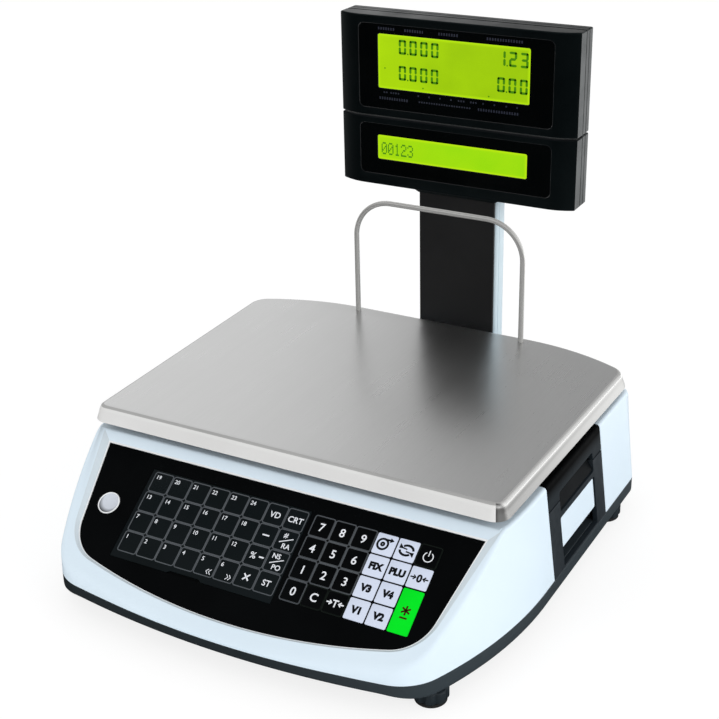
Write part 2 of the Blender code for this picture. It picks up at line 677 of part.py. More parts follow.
def tube(path, radius, sides=10):
    """Round bar along a path that stays in one plane of constant y."""
    rings = []
    for i, point in enumerate(path):
        ahead = Vector(path[min(i + 1, len(path) - 1)]) - Vector(path[max(i - 1, 0)])
        along = ahead.normalized()
        across = Vector((0.0, 1.0, 0.0))
        third = along.cross(across)
        centre = Vector(point)
        rings.append([centre + across * radius * math.cos(2 * math.pi * k / sides)
                      + third * radius * math.sin(2 * math.pi * k / sides) for k in range(sides)])
    return loft(rings)


def make_guard_rail():
    centre_z = GUARD_TOP_Z - GUARD_BEND
    half = GUARD_HALF - GUARD_BEND
    path = [(GUARD_HALF, GUARD_Y, GUARD_FOOT_Z)]
    path += [(half + x, GUARD_Y, centre_z + z) for x, z in arc((0, 0), GUARD_BEND, 0, math.pi / 2, 6)]
    path += [(-x, y, z) for x, y, z in reversed(path)]
    path = [(x + PLATTER_X, y, z) for x, y, z in path]
    finish("guard_rail", tube(path, GUARD_WIRE), STEEL, (PLATTER_X, GUARD_Y, GUARD_FOOT_Z), True)


# ---------------------------------------------------------------- pole and display head

def make_pole():
    foot = block(-BRACKET_HALF, BRACKET_HALF, CASE_REAR + 1.0, BRACKET_REAR, *BRACKET_Z)
    bracket = finish("pole_bracket", foot, BLACK)
    socket = block(-COLUMN_HALF - GAP, COLUMN_HALF + GAP, POLE_FRONT - GAP, COLUMN_REAR + GAP, BRACKET_FLOOR, 80.0)
    cut(bracket, finish("cut_bracket_socket", socket, BLACK))
    relief = block(-BRACKET_RELIEF_HALF, BRACKET_RELIEF_HALF, CASE_REAR + 8, POLE_FRONT - 5,
                   BRACKET_FLOOR - FLOOR_THICK, 80.0)
    cut(bracket, finish("cut_bracket_relief", relief, BLACK))
    top = HEAD_BOTTOM - GAP
    bar = block(-COLUMN_HALF, COLUMN_HALF, COLUMN_FRONT, COLUMN_REAR, COLUMN_FOOT_Z, top)
    column = finish("pole_column", bar, COLUMN)
    half = COLUMN_HALF - COLUMN_WALL
    inside = block(-half, half, COLUMN_FRONT + COLUMN_WALL, COLUMN_REAR - COLUMN_WALL, 10.0, 260.0)
    cut(column, finish("cut_column_inside", inside, COLUMN))
    face = block(-POLE_HALF, POLE_HALF, POLE_FRONT, COLUMN_FRONT - GAP, COLUMN_FOOT_Z, top)
    finish("pole_front_cover", face, BLACK)


def head_plan(front, rear, inset=0.0, steps=4):
    """Plan of a display housing: a front that curves back near both ends."""
    half = HEAD_HALF - inset
    start = HEAD_HALF - HEAD_CURVE_LENGTH
    right = [(0.0, front + inset), (start, front + inset)]
    for i in range(1, steps + 1):
        x = start + (half - start) * i / steps
        right.append((x, front + inset + HEAD_CURVE_DEPTH * ((x - start) / (half - start)) ** 2))
    right.append((half, rear))
    return mirrored(right)


def head_front(name, z0, z1, window):
    """Front housing of one display unit with its stepped window opening."""
    shell = finish(name, prism(head_plan(HEAD_FRONT, HEAD_SEAM_Y - GAP / 2), z0, z1), BLACK)
    inside = prism(head_plan(HEAD_FRONT, HEAD_SEAM_Y + 5.0, 3.0), z0 + HEAD_WALL, z1 - HEAD_WALL)
    cut(shell, finish("cut_inside_" + name, inside, BLACK))
    x0, x1, w0, w1 = window
    outline = rounded_rectangle(x0, x1, w0, w1, WINDOW_RADIUS)
    opening = prism(outline, HEAD_FRONT - 5, HEAD_FRONT + 12, axis="y")
    cut(shell, finish("cut_window_" + name, opening, BLACK))


def head_rear(name, z0, z1, window):
    """Rear housing with the shallow recess of the customer's window."""
    back = [(x, HEAD_REAR + HEAD_SEAM_Y - y) for x, y in head_plan(HEAD_SEAM_Y, HEAD_REAR)][::-1]
    shell = finish(name, prism(back, z0, z1), BLACK)
    inner = [(x, y - 5.0 if y < HEAD_SEAM_Y + 5 else y) for x, y in offset_outline(back, HEAD_WALL)]
    cut(shell, finish("cut_inside_" + name, prism(inner, z0 + HEAD_WALL, z1 - HEAD_WALL), BLACK))
    x0, x1, w0, w1 = window
    recess = prism(rounded_rectangle(-x1, -x0, w0, w1, WINDOW_RADIUS), HEAD_REAR - 1.2, HEAD_REAR + 5, axis="y")
    cut(shell, finish("cut_recess_" + name, recess, BLACK))


def make_lens(name, window, display):
    """Glossy window plate with a clear place for the liquid-crystal display."""
    x0, x1, z0, z1 = window
    outline = rounded_rectangle(x0 + GAP, x1 - GAP, z0 + GAP, z1 - GAP, WINDOW_RADIUS)
    plate = prism(outline, HEAD_FRONT + GAP, HEAD_FRONT + GAP + 2.0, axis="y")
    lens = finish(name, plate, GLOSS)
    d0, d1, e0, e1 = display
    sight = block(d0 - GAP, d1 + GAP, HEAD_FRONT - 5, HEAD_FRONT + 8, e0 - GAP, e1 + GAP)
    cut(lens, finish("cut_sight_" + name, sight, GLOSS))


def make_head():
    low_top = HEAD_SPLIT - UNIT_GAP / 2
    high_bottom = HEAD_SPLIT + UNIT_GAP / 2
    head_front("display_lower_front", HEAD_BOTTOM, low_top, LOWER_WINDOW)
    head_rear("display_lower_rear", HEAD_BOTTOM, low_top, LOWER_WINDOW)
    head_front("display_upper_front", high_bottom, HEAD_TOP, UPPER_WINDOW)
    head_rear("display_upper_rear", high_bottom, HEAD_TOP, UPPER_WINDOW)
    make_lens("upper_lens", UPPER_WINDOW, UPPER_LCD)
    make_lens("lower_lens", LOWER_WINDOW, LOWER_LCD)
    for name, (x0, x1, z0, z1) in (("upper_lcd", UPPER_LCD), ("lower_lcd", LOWER_LCD)):
        finish(name, block(x0, x1, HEAD_FRONT + 0.9, HEAD_FRONT + 9.0, z0, z1), LCD)


# ---------------------------------------------------------------- label printer

def door_section(outer_inset, thick, z0, z1):
    """Slab in x and z that follows the leaning flank."""
    return [(side_x(z0) - outer_inset - thick, z0), (side_x(z0) - outer_inset, z0),
            (side_x(z1) - outer_inset, z1), (side_x(z1) - outer_inset - thick, z1)]


def make_printer_cover():
    """Fixed black cover over the printer: it continues the flank and the deck of the case."""
    top = DECK_TOP
    edge = side_x(top)
    low = DOOR_SPLIT_Z + GAP
    section = [(side_x(low) - DOOR_THICK, low), (side_x(low), low), (edge + 0.9, top - 6.0),
               (edge - 1.2, top - 1.4), (edge - 7.0, top), (COVER_INNER_X, top),
               (COVER_INNER_X, top - DOOR_THICK), (edge - 7.5, top - DOOR_THICK)]
    cover = finish("printer_cover", prism(section, DOOR_Y0, DOOR_Y1, axis="y"), BLACK)
    slot = block(150.0, 200.0, SLOT_Y0, SLOT_Y1, SLOT_Z0, SLOT_Z1)
    cut(cover, finish("cut_slot_cover", slot, BLACK))


def make_cassette():
    """Label cassette that draws out of the case: flush door, side plates and floor in one moulding."""
    low = BAND_TOP + 0.6
    top = DOOR_SPLIT_Z
    door = prism(door_section(0.0, DOOR_THICK, low, top), DOOR_Y0, DOOR_Y1, axis="y")
    cassette = finish("cassette", door, BLACK, (side_x(low), (DOOR_Y0 + DOOR_Y1) / 2, low))
    recess = block(160.0, 200.0, SLOT_Y0 - 1.5, SLOT_Y1 + 0.5, RECESS_Z0, FLAP_Z1 + 0.5)
    cut(cassette, finish("cut_finger_recess", recess, BLACK))
    slot = block(150.0, 200.0, SLOT_Y0, SLOT_Y1, SLOT_Z0, SLOT_Z1)
    cut(cassette, finish("cut_slot_door", slot, BLACK))
    y0 = SLOT_Y0 - CASSETTE_MARGIN
    y1 = SLOT_Y1 + CASSETTE_MARGIN - 1.0
    for name, y in (("front", y0), ("rear", y1 - CASSETTE_PLATE)):
        plate = block(*CASSETTE_X, y, y + CASSETTE_PLATE, low + 1.0, CASSETTE_PLATE_TOP)
        cut(cassette, finish("add_side_plate_" + name, plate, BLACK), "UNION")
    floor = block(CASSETTE_X[0], side_x(low) - DOOR_THICK + 1.0, y0, y1, low, low + 2.0)
    cut(cassette, finish("add_cassette_floor", floor, BLACK), "UNION")
    back = block(*RECESS_BACK, y0, y1, low, RECESS_ROOF[1] - 0.7)
    cut(cassette, finish("add_recess_back", back, BLACK), "UNION")
    roof = block(RECESS_BACK[0], CASSETTE_X[1], y0, y1, *RECESS_ROOF)
    cut(cassette, finish("add_recess_roof", roof, BLACK), "UNION")


def make_release_flap():
    """White lever in the door, hinged along its top edge."""
    z0, z1 = FLAP_Z0, FLAP_Z1 - GAP
    hinge = FLAP_THICK / 2
    finish("release_flap", prism(door_section(FLAP_INSET, FLAP_THICK, z0, z1), FLAP_Y0, FLAP_Y1, axis="y"), WHITE,
           (side_x(z1) - FLAP_INSET - hinge, FLAP_Y0, z1 - hinge))


def spool(name, place, y0, y1, mat):
    """Roll on a hollow core, open at both ends."""
    x, z, radius, core = place
    outer = circle(x, z, radius, ROLL_SIDES)
    inner = circle(x, z, core, ROLL_SIDES)
    bm = bmesh.new()
    rows = [[bm.verts.new((px, level, pz)) for px, pz in ring]
            for ring, level in ((outer, y0), (outer, y1), (inner, y1), (inner, y0))]
    for low, high in zip(rows, rows[1:] + rows[:1]):
        for i in range(ROLL_SIDES):
            j = (i + 1) % ROLL_SIDES
            bm.faces.new((low[i], low[j], high[j], high[i]))
    return finish(name, bm, mat, (x, y0, z), True)


def make_printer_internals():
    y0, y1 = SLOT_Y0 - 3.5, SLOT_Y1 + 2.5
    spool("label_roll", LABEL_ROLL, y0, y1, PAPER)
    spool("take_up_spool", TAKE_UP_SPOOL, y0, y1, BLACK)
    spool("platen_roller", PLATEN_ROLLER, y0, y1, RUBBER)
    x0, x1, z0, z1 = PRINT_HEAD
    finish("print_head", block(x0, x1, y0 + 1, y1 - 1, z0, z1), ALLOY)


# ---------------------------------------------------------------- electronics

def make_electronics():
    finish("main_board", block(*MAIN_BOARD), BOARD)
    finish("power_supply", block(*POWER_SUPPLY), ALLOY)


def clear_scene():
    for obj in list(bpy.data.objects):
        bpy.data.objects.remove(obj, do_unlink=True)


def build():
    clear_scene()
    make_base_case()
    make_top_case()
    make_feet()
    make_keyboard_panel()
    make_keys()
    make_load_cell()
    make_platter_support()
    make_platter()
    make_guard_rail()
    make_pole()
    make_head()
    make_printer_cover()
    make_cassette()
    make_release_flap()
    make_printer_internals()
    make_electronics()


build()
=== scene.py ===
"""Looks of the retail price scale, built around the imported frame.

Lengths are in millimetres and scaled by MM when a mesh is made. Places come from the frame's own nodes.
"""

import json
import math

import bmesh
import bpy
from mathutils import Matrix, Quaternion, Vector

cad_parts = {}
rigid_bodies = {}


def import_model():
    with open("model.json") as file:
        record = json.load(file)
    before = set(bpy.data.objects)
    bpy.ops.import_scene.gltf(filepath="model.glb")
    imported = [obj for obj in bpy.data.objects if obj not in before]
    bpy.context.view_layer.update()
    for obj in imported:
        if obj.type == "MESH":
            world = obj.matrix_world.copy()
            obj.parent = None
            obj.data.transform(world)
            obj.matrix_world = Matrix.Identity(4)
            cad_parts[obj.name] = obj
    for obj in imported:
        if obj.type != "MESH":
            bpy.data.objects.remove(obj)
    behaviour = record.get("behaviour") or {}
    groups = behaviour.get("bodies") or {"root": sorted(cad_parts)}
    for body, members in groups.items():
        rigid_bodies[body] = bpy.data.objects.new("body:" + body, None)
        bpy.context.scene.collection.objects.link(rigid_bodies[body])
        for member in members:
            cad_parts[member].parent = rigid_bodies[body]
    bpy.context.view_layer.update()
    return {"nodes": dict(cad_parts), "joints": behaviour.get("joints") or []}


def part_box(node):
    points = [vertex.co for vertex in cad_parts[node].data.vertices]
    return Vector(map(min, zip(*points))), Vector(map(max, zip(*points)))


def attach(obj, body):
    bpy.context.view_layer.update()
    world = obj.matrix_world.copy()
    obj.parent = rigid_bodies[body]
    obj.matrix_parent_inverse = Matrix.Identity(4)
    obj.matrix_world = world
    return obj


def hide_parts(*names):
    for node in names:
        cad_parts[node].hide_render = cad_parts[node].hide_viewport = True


MM = 0.001
GAP = 0.3

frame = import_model()
NODES = frame["nodes"]
JOINTS = {joint["name"]: joint for joint in frame["joints"]}


def span(node):
    """Lowest and highest corner of a CAD node in millimetres."""
    low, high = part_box(node)
    return low / MM, high / MM


# ---------------------------------------------------------------- driving dimensions

BASE_LOW, BASE_HIGH = span("base_case")
TOP_LOW, TOP_HIGH = span("top_case")
TRAY_LOW, TRAY_HIGH = span("platter")
COVER_LOW, COVER_HIGH = span("printer_cover")
CASSETTE_LOW, CASSETTE_HIGH = span("cassette")
FLAP_LOW, FLAP_HIGH = span("release_flap")
HEAD_LOW, HEAD_HIGH = span("display_lower_front")[0], span("display_upper_rear")[1]

BAND_BOTTOM = BASE_LOW.z
BAND_TOP = TOP_LOW.z
SEAM = BAND_TOP + 1.0          # lower edge of the white shell
BAND_SIDE = BAND_BOTTOM - 3.0  # the band reaches lower along the flanks than at the nose
DECK_TOP = TOP_HIGH.z
CASE_FRONT = BASE_LOW.y
CASE_SIDE = BASE_HIGH.x
CASE_REAR = BASE_HIGH.y
NOSE_RADIUS = 750.0
CHEEK_RADIUS = 320.0
CHEEK_START = -49.0
NOSE_CORNER = 38.0
REAR_CORNER = 16.0
SIDE_LEAN = 0.12               # lean of the printer-side flank
LEFT_LEAN = 0.05               # and of the other one
WALL = 2.6                     # of the white shell
TUB_WALL = 9.0                 # and of the black tub, with its floor
TUB_FLOOR = 3.0
BAY_SIDE = 148.0               # the printer bay is open from here outwards
FLANK_GAP = 0.35               # gap round the printer hood and its door
BEYOND = 230.0                 # a coordinate clear of the case, for cutters that run right through
SHOULDER = 7.0
SIDE_SHOULDER = 3.0
TRAY_TAPER = 2.5               # the platter is wider at the rear by this much on each side
FLARE_SIDE, FLARE_TOP, FLARE_BOTTOM = 8.5, 8.6, 2.0
ARC_STEPS = 22

PRESS_AXIS = Vector(JOINTS["key_7_press"]["axis"])
NORMAL = -PRESS_AXIS
UPHILL = Vector((0.0, NORMAL.z, -NORMAL.y))
SLOPE = math.atan2(UPHILL.z, UPHILL.y)
RIM_RISE = 3.2
PANEL_TOP_HALF = 160.8
PANEL_SIDE_TAPER = 0.174
PANEL_BOTTOM_RADIUS = 490.0
PANEL_CORNER = 34.0
PANEL_THICK = 3.0
KEY_PITCH = 17.0
ROW_PITCH = 17.1
KEY_GAP = 1.1
INK = 0.05                     # thickness of the print on keys and panel

HEAD_END = 22.5                # length over which an end of the head curves back
HEAD_SWEEP = 6.0               # and by how much
PRINT = 0.04                   # height of the print on the display windows


# ---------------------------------------------------------------- materials

class Look:
    """A Principled material with short calls for the nodes that feed it. Coordinates are metres."""

    def __init__(self, name, colour, roughness, metallic=0.0, specular=0.5):
        self.mat = bpy.data.materials.new(name)
        self.mat.use_nodes = True
        self.tree = self.mat.node_tree
        self.shader = self.tree.nodes["Principled BSDF"]
        self.shader.inputs["Base Color"].default_value = (*colour, 1.0)
        self.shader.inputs["Roughness"].default_value = roughness
        self.shader.inputs["Metallic"].default_value = metallic
        self.shader.inputs["Specular IOR Level"].default_value = specular
        self.mat.diffuse_color = (*colour, 1.0)
        self.place = self.node("ShaderNodeTexCoord").outputs["Object"]

    def node(self, kind, **settings):
        made = self.tree.nodes.new(kind)
        for key, value in settings.items():
            setattr(made, key, value)
        return made

    def feed(self, socket, value):
        """Link an output to a socket, or set the socket's own value."""
        if isinstance(value, bpy.types.NodeSocket):
            self.tree.links.new(value, socket)
        elif isinstance(value, tuple) and len(value) == 3 and socket.type == "RGBA":
            socket.default_value = (*value, 1.0)
        else:
            socket.default_value = value

    def set(self, name, value):
        self.feed(self.shader.inputs[name], value)
        return self

    def math(self, operation, a, b=0.0, clamp=False):
        made = self.node("ShaderNodeMath", operation=operation, use_clamp=clamp)
        self.feed(made.inputs[0], a)
        self.feed(made.inputs[1], b)
        return made.outputs[0]

    def axes(self):
        """The three coordinates of the place, by name."""
        made = self.node("ShaderNodeSeparateXYZ")
        self.feed(made.inputs[0], self.place)
        return made.outputs

    def add(self, first, *others):
        for other in others:
            first = self.math("ADD", first, other)
        return first

    def times(self, first, *others):
        for other in others:
            first = self.math("MULTIPLY", first, other)
        return first

    def stretched(self, scale):
        """The place, stretched per axis."""
        made = self.node("ShaderNodeMapping")
        self.feed(made.inputs["Vector"], self.place)
        made.inputs["Scale"].default_value = scale
        return made.outputs[0]

    def noise(self, size, detail=2.0, stretch=(1.0, 1.0, 1.0), roughness=0.5):
        """Noise from 0 to 1 whose features measure about size millimetres."""
        made = self.node("ShaderNodeTexNoise")
        self.feed(made.inputs["Vector"], self.stretched(stretch))
        made.inputs["Scale"].default_value = 1.0 / (size * MM)
        made.inputs["Detail"].default_value = detail
        made.inputs["Roughness"].default_value = roughness
        return made.outputs["Fac"]

    def remap(self, value, low, high, start=0.3, end=0.7):
        made = self.node("ShaderNodeMapRange")
        self.feed(made.inputs["Value"], value)
        made.inputs["From Min"].default_value = start
        made.inputs["From Max"].default_value = end
        made.inputs["To Min"].default_value = low
        made.inputs["To Max"].default_value = high
        return made.outputs[0]

    def mix(self, factor, a, b):
        made = self.node("ShaderNodeMix", data_type="RGBA")
        self.feed(made.inputs["Factor"], factor)
        self.feed(made.inputs[6], a)
        self.feed(made.inputs[7], b)
        return made.outputs[2]

    def edge(self, start=0.52, end=0.6):
        """1 on sharp outer edges, 0 on flats."""
        made = self.node("ShaderNodeNewGeometry")
        return self.remap(made.outputs["Pointiness"], 0.0, 1.0, start, end)

    def bump(self, height, depth, strength=1.0):
        made = self.node("ShaderNodeBump")
        made.inputs["Distance"].default_value = depth * MM
        made.inputs["Strength"].default_value = strength
        self.feed(made.inputs["Height"], height)
        return self.set("Normal", made.outputs[0])


def moulded(name, colour, tint, roughness, specular, grain, depth, wear=0.0, worn=(0.3, 0.3, 0.3)):
    """Moulded plastic: slight colour drift, fine surface grain, handling smudges and paler edges."""
    look = Look(name, colour, roughness, specular=specular)
    drift = look.mix(look.remap(look.noise(55.0, 3.0), 0.0, 1.0), colour, tint)
    if wear:
        scuffs = look.times(look.edge(), look.remap(look.noise(6.0, 4.0), 0.2, 1.0), wear)
        drift = look.mix(scuffs, drift, worn)
    look.set("Base Color", drift)
    smudge = look.remap(look.noise(24.0, 5.0, roughness=0.6), -0.05, 0.07)
    fine = look.remap(look.noise(1.4, 2.0), -0.02, 0.02)
    look.set("Roughness", look.add(smudge, fine, roughness))
    return look.bump(look.noise(grain, 3.0), depth)


def brushed(name, colour, roughness, stretch, depth=0.012, anisotropy=0.6, contrast=1.0):
    """Stainless sheet: long fine scratches along one axis, with soft cloudy wear."""
    look = Look(name, colour, roughness, 1.0)
    lines = look.noise(0.9, 4.0, stretch, 0.65)
    broad = look.noise(7.0, 3.0, stretch)
    cloud = look.noise(70.0, 4.0)
    dark = tuple((1.0 - 0.12 * contrast) * part for part in colour)
    bright = tuple(min(1.0, (1.0 + 0.06 * contrast) * part) for part in colour)
    tone = look.mix(look.remap(lines, 0.0, 1.0), dark, bright)
    look.set("Base Color", look.mix(look.remap(cloud, 0.0, 0.5), tone, colour))
    streaks = look.add(look.remap(broad, -0.03, 0.04), look.remap(lines, -0.03, 0.05))
    streaks = look.times(streaks, contrast)
    look.set("Roughness", look.add(streaks, look.remap(cloud, -0.01, 0.015), roughness))
    look.set("Anisotropic", anisotropy)
    return look.bump(lines, depth) if depth else look


def glowing(name, low, high, tones):
    """Backlit display glass: light green, brighter and yellower along its border.

    It shines at the camera and only faintly at the room.
    """
    left, right, rim = tones
    centre = (low + high) / 2
    look = Look(name, (0.02, 0.04, 0.002), 0.3, specular=0.05)
    place = look.axes()
    reach = []
    for axis, side in (("X", 0), ("Z", 2)):
        half = (high[side] - low[side]) / 2 * MM
        away = look.math("ABSOLUTE", look.math("SUBTRACT", place[axis], centre[side] * MM))
        reach.append(look.math("SUBTRACT", away, half - 2.4 * MM))
    border = look.remap(look.math("MAXIMUM", *reach), 0.0, 1.0, 0.0, 2.0 * MM)
    fall = look.remap(place["X"], 0.0, 1.0, low.x * MM, centre.x * MM)
    plain = look.mix(fall, left, right)
    cloudy = look.mix(look.remap(look.noise(30.0, 2.0), 0.0, 0.3), plain, rim)
    screen = look.remap(look.noise(0.7, 1.0), 0.97, 1.03)
    look.set("Emission Color", look.mix(border, cloudy, rim))
    paths = look.node("ShaderNodeLightPath")
    seen = look.remap(paths.outputs["Is Camera Ray"], 0.12, 1.0, 0.0, 1.0)
    look.set("Emission Strength", look.times(screen, seen))
    return look.bump(look.noise(0.5, 1.0), 0.004)


WHITE = moulded("white_plastic", (0.755, 0.875, 0.965), (0.735, 0.855, 0.95), 0.34, 0.35, 0.55, 0.006)
# Greyer copy of the white plastic for the sunken sides round the keyboard: painted shade.
WHITE_FLARE_SHADE = moulded("white_painted_shade", (0.66, 0.745, 0.80), (0.64, 0.725, 0.78), 0.4, 0.3, 0.55, 0.006)
# Paler white than the shell; on the keyboard's lip the paler white is painted highlight along its edge.
TRIM = moulded("white_trim", (0.93, 0.95, 0.96), (0.90, 0.92, 0.93), 0.35, 0.4, 0.8, 0.002)
LINING = moulded("dark_lining", (0.003, 0.0045, 0.0055), (0.005, 0.0065, 0.008), 0.6, 0.08, 0.8, 0.01)
BLACK = moulded("black_plastic", (0.016, 0.023, 0.028), (0.020, 0.028, 0.034), 0.46, 0.22, 0.45, 0.03,
                0.3, (0.06, 0.07, 0.08))
DOOR = moulded("door_plastic", (0.010, 0.016, 0.021), (0.014, 0.020, 0.026), 0.5, 0.15, 0.45, 0.02,
               0.35, (0.09, 0.1, 0.11))
HEAD = moulded("head_plastic", (0.0011, 0.0022, 0.0026), (0.0020, 0.0034, 0.0039), 0.34, 0.22, 0.5, 0.012,
               0.1, (0.03, 0.035, 0.035))
POLE = moulded("pole_plastic", (0.012, 0.012, 0.0125), (0.016, 0.016, 0.0165), 0.5, 0.2, 0.4, 0.02)
FILM = moulded("panel_film", (0.0009, 0.0013, 0.0016), (0.0016, 0.0021, 0.0025), 0.33, 0.06, 0.35, 0.004)
POCKET = moulded("pocket_film", (0.0042, 0.0068, 0.0078), (0.006, 0.009, 0.0105), 0.3, 0.08, 0.9, 0.006)
LENS = moulded("lens_film", (0.0006, 0.001, 0.0011), (0.0012, 0.0018, 0.002), 0.16, 0.2, 0.8, 0.002)
KEY_BLACK = moulded("key_black", (0.0009, 0.0013, 0.0016), (0.0018, 0.0024, 0.003), 0.4, 0.06, 0.4, 0.006)
KEY_WHITE = moulded("key_white", (0.68, 0.74, 0.885), (0.65, 0.71, 0.86), 0.42, 0.15, 0.4, 0.006)
KEY_GREEN = moulded("key_green", (0.0015, 0.84, 0.022), (0.001, 0.78, 0.018), 0.45, 0.03, 0.4, 0.006)
INK_GREY = moulded("ink_grey", (0.092, 0.102, 0.112), (0.075, 0.084, 0.094), 0.5, 0.1, 0.5, 0.002)
INK_FAINT = moulded("ink_faint", (0.007, 0.011, 0.0085), (0.005, 0.008, 0.0065), 0.5, 0.1, 0.5, 0.002)
INK_WHITE = moulded("ink_white", (0.86, 0.88, 0.92), (0.80, 0.83, 0.88), 0.5, 0.1, 0.5, 0.002)
INK_BLACK = moulded("ink_black", (0.003, 0.004, 0.006), (0.006, 0.007, 0.009), 0.5, 0.1, 0.5, 0.002)
INK_BROWN = moulded("ink_brown", (0.03, 0.02, 0.003), (0.045, 0.028, 0.005), 0.5, 0.05, 0.5, 0.002)
INK_DIM = moulded("ink_dim", (0.018, 0.021, 0.035), (0.028, 0.031, 0.045), 0.5, 0.1, 1.2, 0.002)
STEEL = brushed("brushed_steel", (0.60, 0.602, 0.60), 0.285, (1.0, 0.03, 1.0), 0.0, 0.0, 0.3)
# Darker matt copy of the steel for the tray's front and left fold: painted shade along the bend.
STEEL_FOLD_SHADE = moulded("steel_fold_painted_shade", (0.42, 0.42, 0.415), (0.38, 0.38, 0.375), 0.4, 0.3, 0.5, 0.01)
# Bright matt copy of the steel for the tray's front and left skirt: painted light.
STEEL_FACE_LIT = moulded("steel_skirt_painted_light", (0.76, 0.757, 0.748), (0.72, 0.716, 0.707), 0.36, 0.5, 1.2, 0.002)
# Brighter copy of the steel for the tray's right and rear sides: painted light.
STEEL_SIDE_LIT = brushed("brushed_steel_edge_painted_light", (0.80, 0.80, 0.79), 0.26, (0.05, 0.05, 1.0), 0.003, 0.0, 0.3)
WIRE = brushed("drawn_wire", (0.66, 0.655, 0.64), 0.24, (1.0, 1.0, 0.05), 0.004, 0.0, 0.4)
ALLOY = brushed("cast_aluminium", (0.60, 0.62, 0.64), 0.45, (1.0, 1.0, 1.0), 0.05, 0.0)
SCREW = brushed("zinc_screw", (0.55, 0.56, 0.58), 0.35, (1.0, 1.0, 1.0), 0.02, 0.0)
SILVER = brushed("silver_lens", (0.80, 0.83, 0.88), 0.35, (1.0, 1.0, 1.0), 0.002, 0.0)
COLUMN = moulded("column_paint", (0.62, 0.74, 0.80), (0.58, 0.70, 0.77), 0.4, 0.3, 0.8, 0.02)
RUBBER = moulded("rubber", (0.018, 0.018, 0.018), (0.03, 0.03, 0.03), 0.75, 0.2, 0.8, 0.06)
PAPER = moulded("paper", (0.86, 0.86, 0.83), (0.82, 0.82, 0.79), 0.75, 0.2, 0.3, 0.02)
BOARD = moulded("board", (0.02, 0.16, 0.07), (0.02, 0.13, 0.06), 0.45, 0.4, 1.5, 0.02)
SEGMENT = moulded("lcd_segment", (0.06, 0.24, 0.003), (0.07, 0.27, 0.004), 0.4, 0.05, 0.5, 0.001)
SEGMENT_GHOST = moulded("lcd_dot", (0.055, 0.25, 0.006), (0.07, 0.28, 0.008), 0.4, 0.05, 0.5, 0.001)
# Near-black for the insides of slots and vents: painted shade.
CAVITY_SHADE = moulded("cavity_painted_shade", (0.002, 0.0025, 0.003), (0.003, 0.0035, 0.004), 0.7, 0.05, 0.5, 0.02)
STEEL_SIDE_LIT.set("Metallic", 1.0)
# Darker copy of the steel for the lower part of the tray's right and rear sides: painted shade.
STEEL_LOW_SHADE = brushed("brushed_steel_low_painted_shade", (0.50, 0.50, 0.492), 0.3, (0.05, 0.05, 1.0), 0.001, 0.0, 0.3)
WIRE.set("Metallic", 0.6)
HEAD.set("Specular Tint", (0.72, 0.95, 1.0))
SILVER.set("Metallic", 0.2)


# ---------------------------------------------------------------- mesh helpers

def solid(name, bm, look, smooth=35.0):
    """Object from a mesh given in millimetres, smooth apart from its sharp edges."""
    bmesh.ops.remove_doubles(bm, verts=bm.verts, dist=0.0008)
    bmesh.ops.recalc_face_normals(bm, faces=bm.faces)
    bm.transform(Matrix.Scale(MM, 4))
    mesh = bpy.data.meshes.new(name)
    bm.to_mesh(mesh)
    bm.free()
    obj = bpy.data.objects.new(name, mesh)
    bpy.context.scene.collection.objects.link(obj)
    mesh.materials.append(look.mat)
    soften(obj, smooth)
    return obj


def soften(obj, smooth=35.0):
    obj.data.shade_smooth()
    obj.data.set_sharp_from_angle(angle=math.radians(smooth))


def settled(obj):
    """Replace an object's modifiers by their result."""
    graph = bpy.context.evaluated_depsgraph_get()
    mesh = bpy.data.meshes.new_from_object(obj.evaluated_get(graph))
    obj.modifiers.clear()
    obj.data = mesh
    return obj


def carve(obj, shape, look, operation="DIFFERENCE"):
    """Take a mesh in millimetres away from an object, or join it on with UNION."""
    tool = solid("tool", shape, look)
    mod = obj.modifiers.new("carve", "BOOLEAN")
    mod.operation = operation
    mod.object = tool
    settled(obj)
    bpy.data.objects.remove(tool)


def flats(obj):
    """Keep large flat faces evenly shaded next to small roundings."""
    mod = obj.modifiers.new("flats", "WEIGHTED_NORMAL")
    mod.keep_sharp = True
    return obj


def chamfer(obj, width, steps=2, angle=40.0):
    """Small rounding on every sharp edge."""
    mod = obj.modifiers.new("chamfer", "BEVEL")
    mod.width = width * MM
    mod.segments = steps
    mod.limit_method = "ANGLE"
    mod.angle_limit = math.radians(angle)
    mod.harden_normals = True
    return obj


def mount(obj, body="case", stands_for=()):
    """Hand a piece over to the frame."""
    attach(obj, body)
    if stands_for:
        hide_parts(*stands_for)
    return obj


def loft(rings, closed_ends=True):
    bm = bmesh.new()
    rows = [[bm.verts.new(point) for point in ring] for ring in rings]
    count = len(rows[0])
    for low, high in zip(rows, rows[1:]):
        for i in range(count):
            j = (i + 1) % count
            bm.faces.new((low[i], low[j], high[j], high[i]))
    if closed_ends:
        bm.faces.new(rows[0][::-1])
        bm.faces.new(rows[-1])
    return bm


def prism(outline, low, high, axis="z"):
    """Extrude a 2D outline between two levels along z, y or x."""
    def place(point, level):
        if axis == "z":
            return (point[0], point[1], level)
        if axis == "y":
            return (point[0], level, point[1])
        return (level, point[0], point[1])
    return loft([[place(point, low) for point in outline], [place(point, high) for point in outline]])


def raised(sections):
    """Rings from pairs of an outline in x and y and its height."""
    return [[(x, y, z) for x, y in ring] for ring, z in sections]


def upright(sections):
    """Rings from pairs of an outline in x and z and its y."""
    return [[(x, y, z) for x, z in ring] for ring, y in sections]


def curve_at(t, start, pull, end):
    """Point at t of a curve that runs from start to end and is pulled towards a third value."""
    return (1 - t) ** 2 * start + 2 * t * (1 - t) * pull + t * t * end


def block(x0, x1, y0, y1, z0, z1):
    return prism([(x0, y0), (x1, y0), (x1, y1), (x0, y1)], z0, z1)


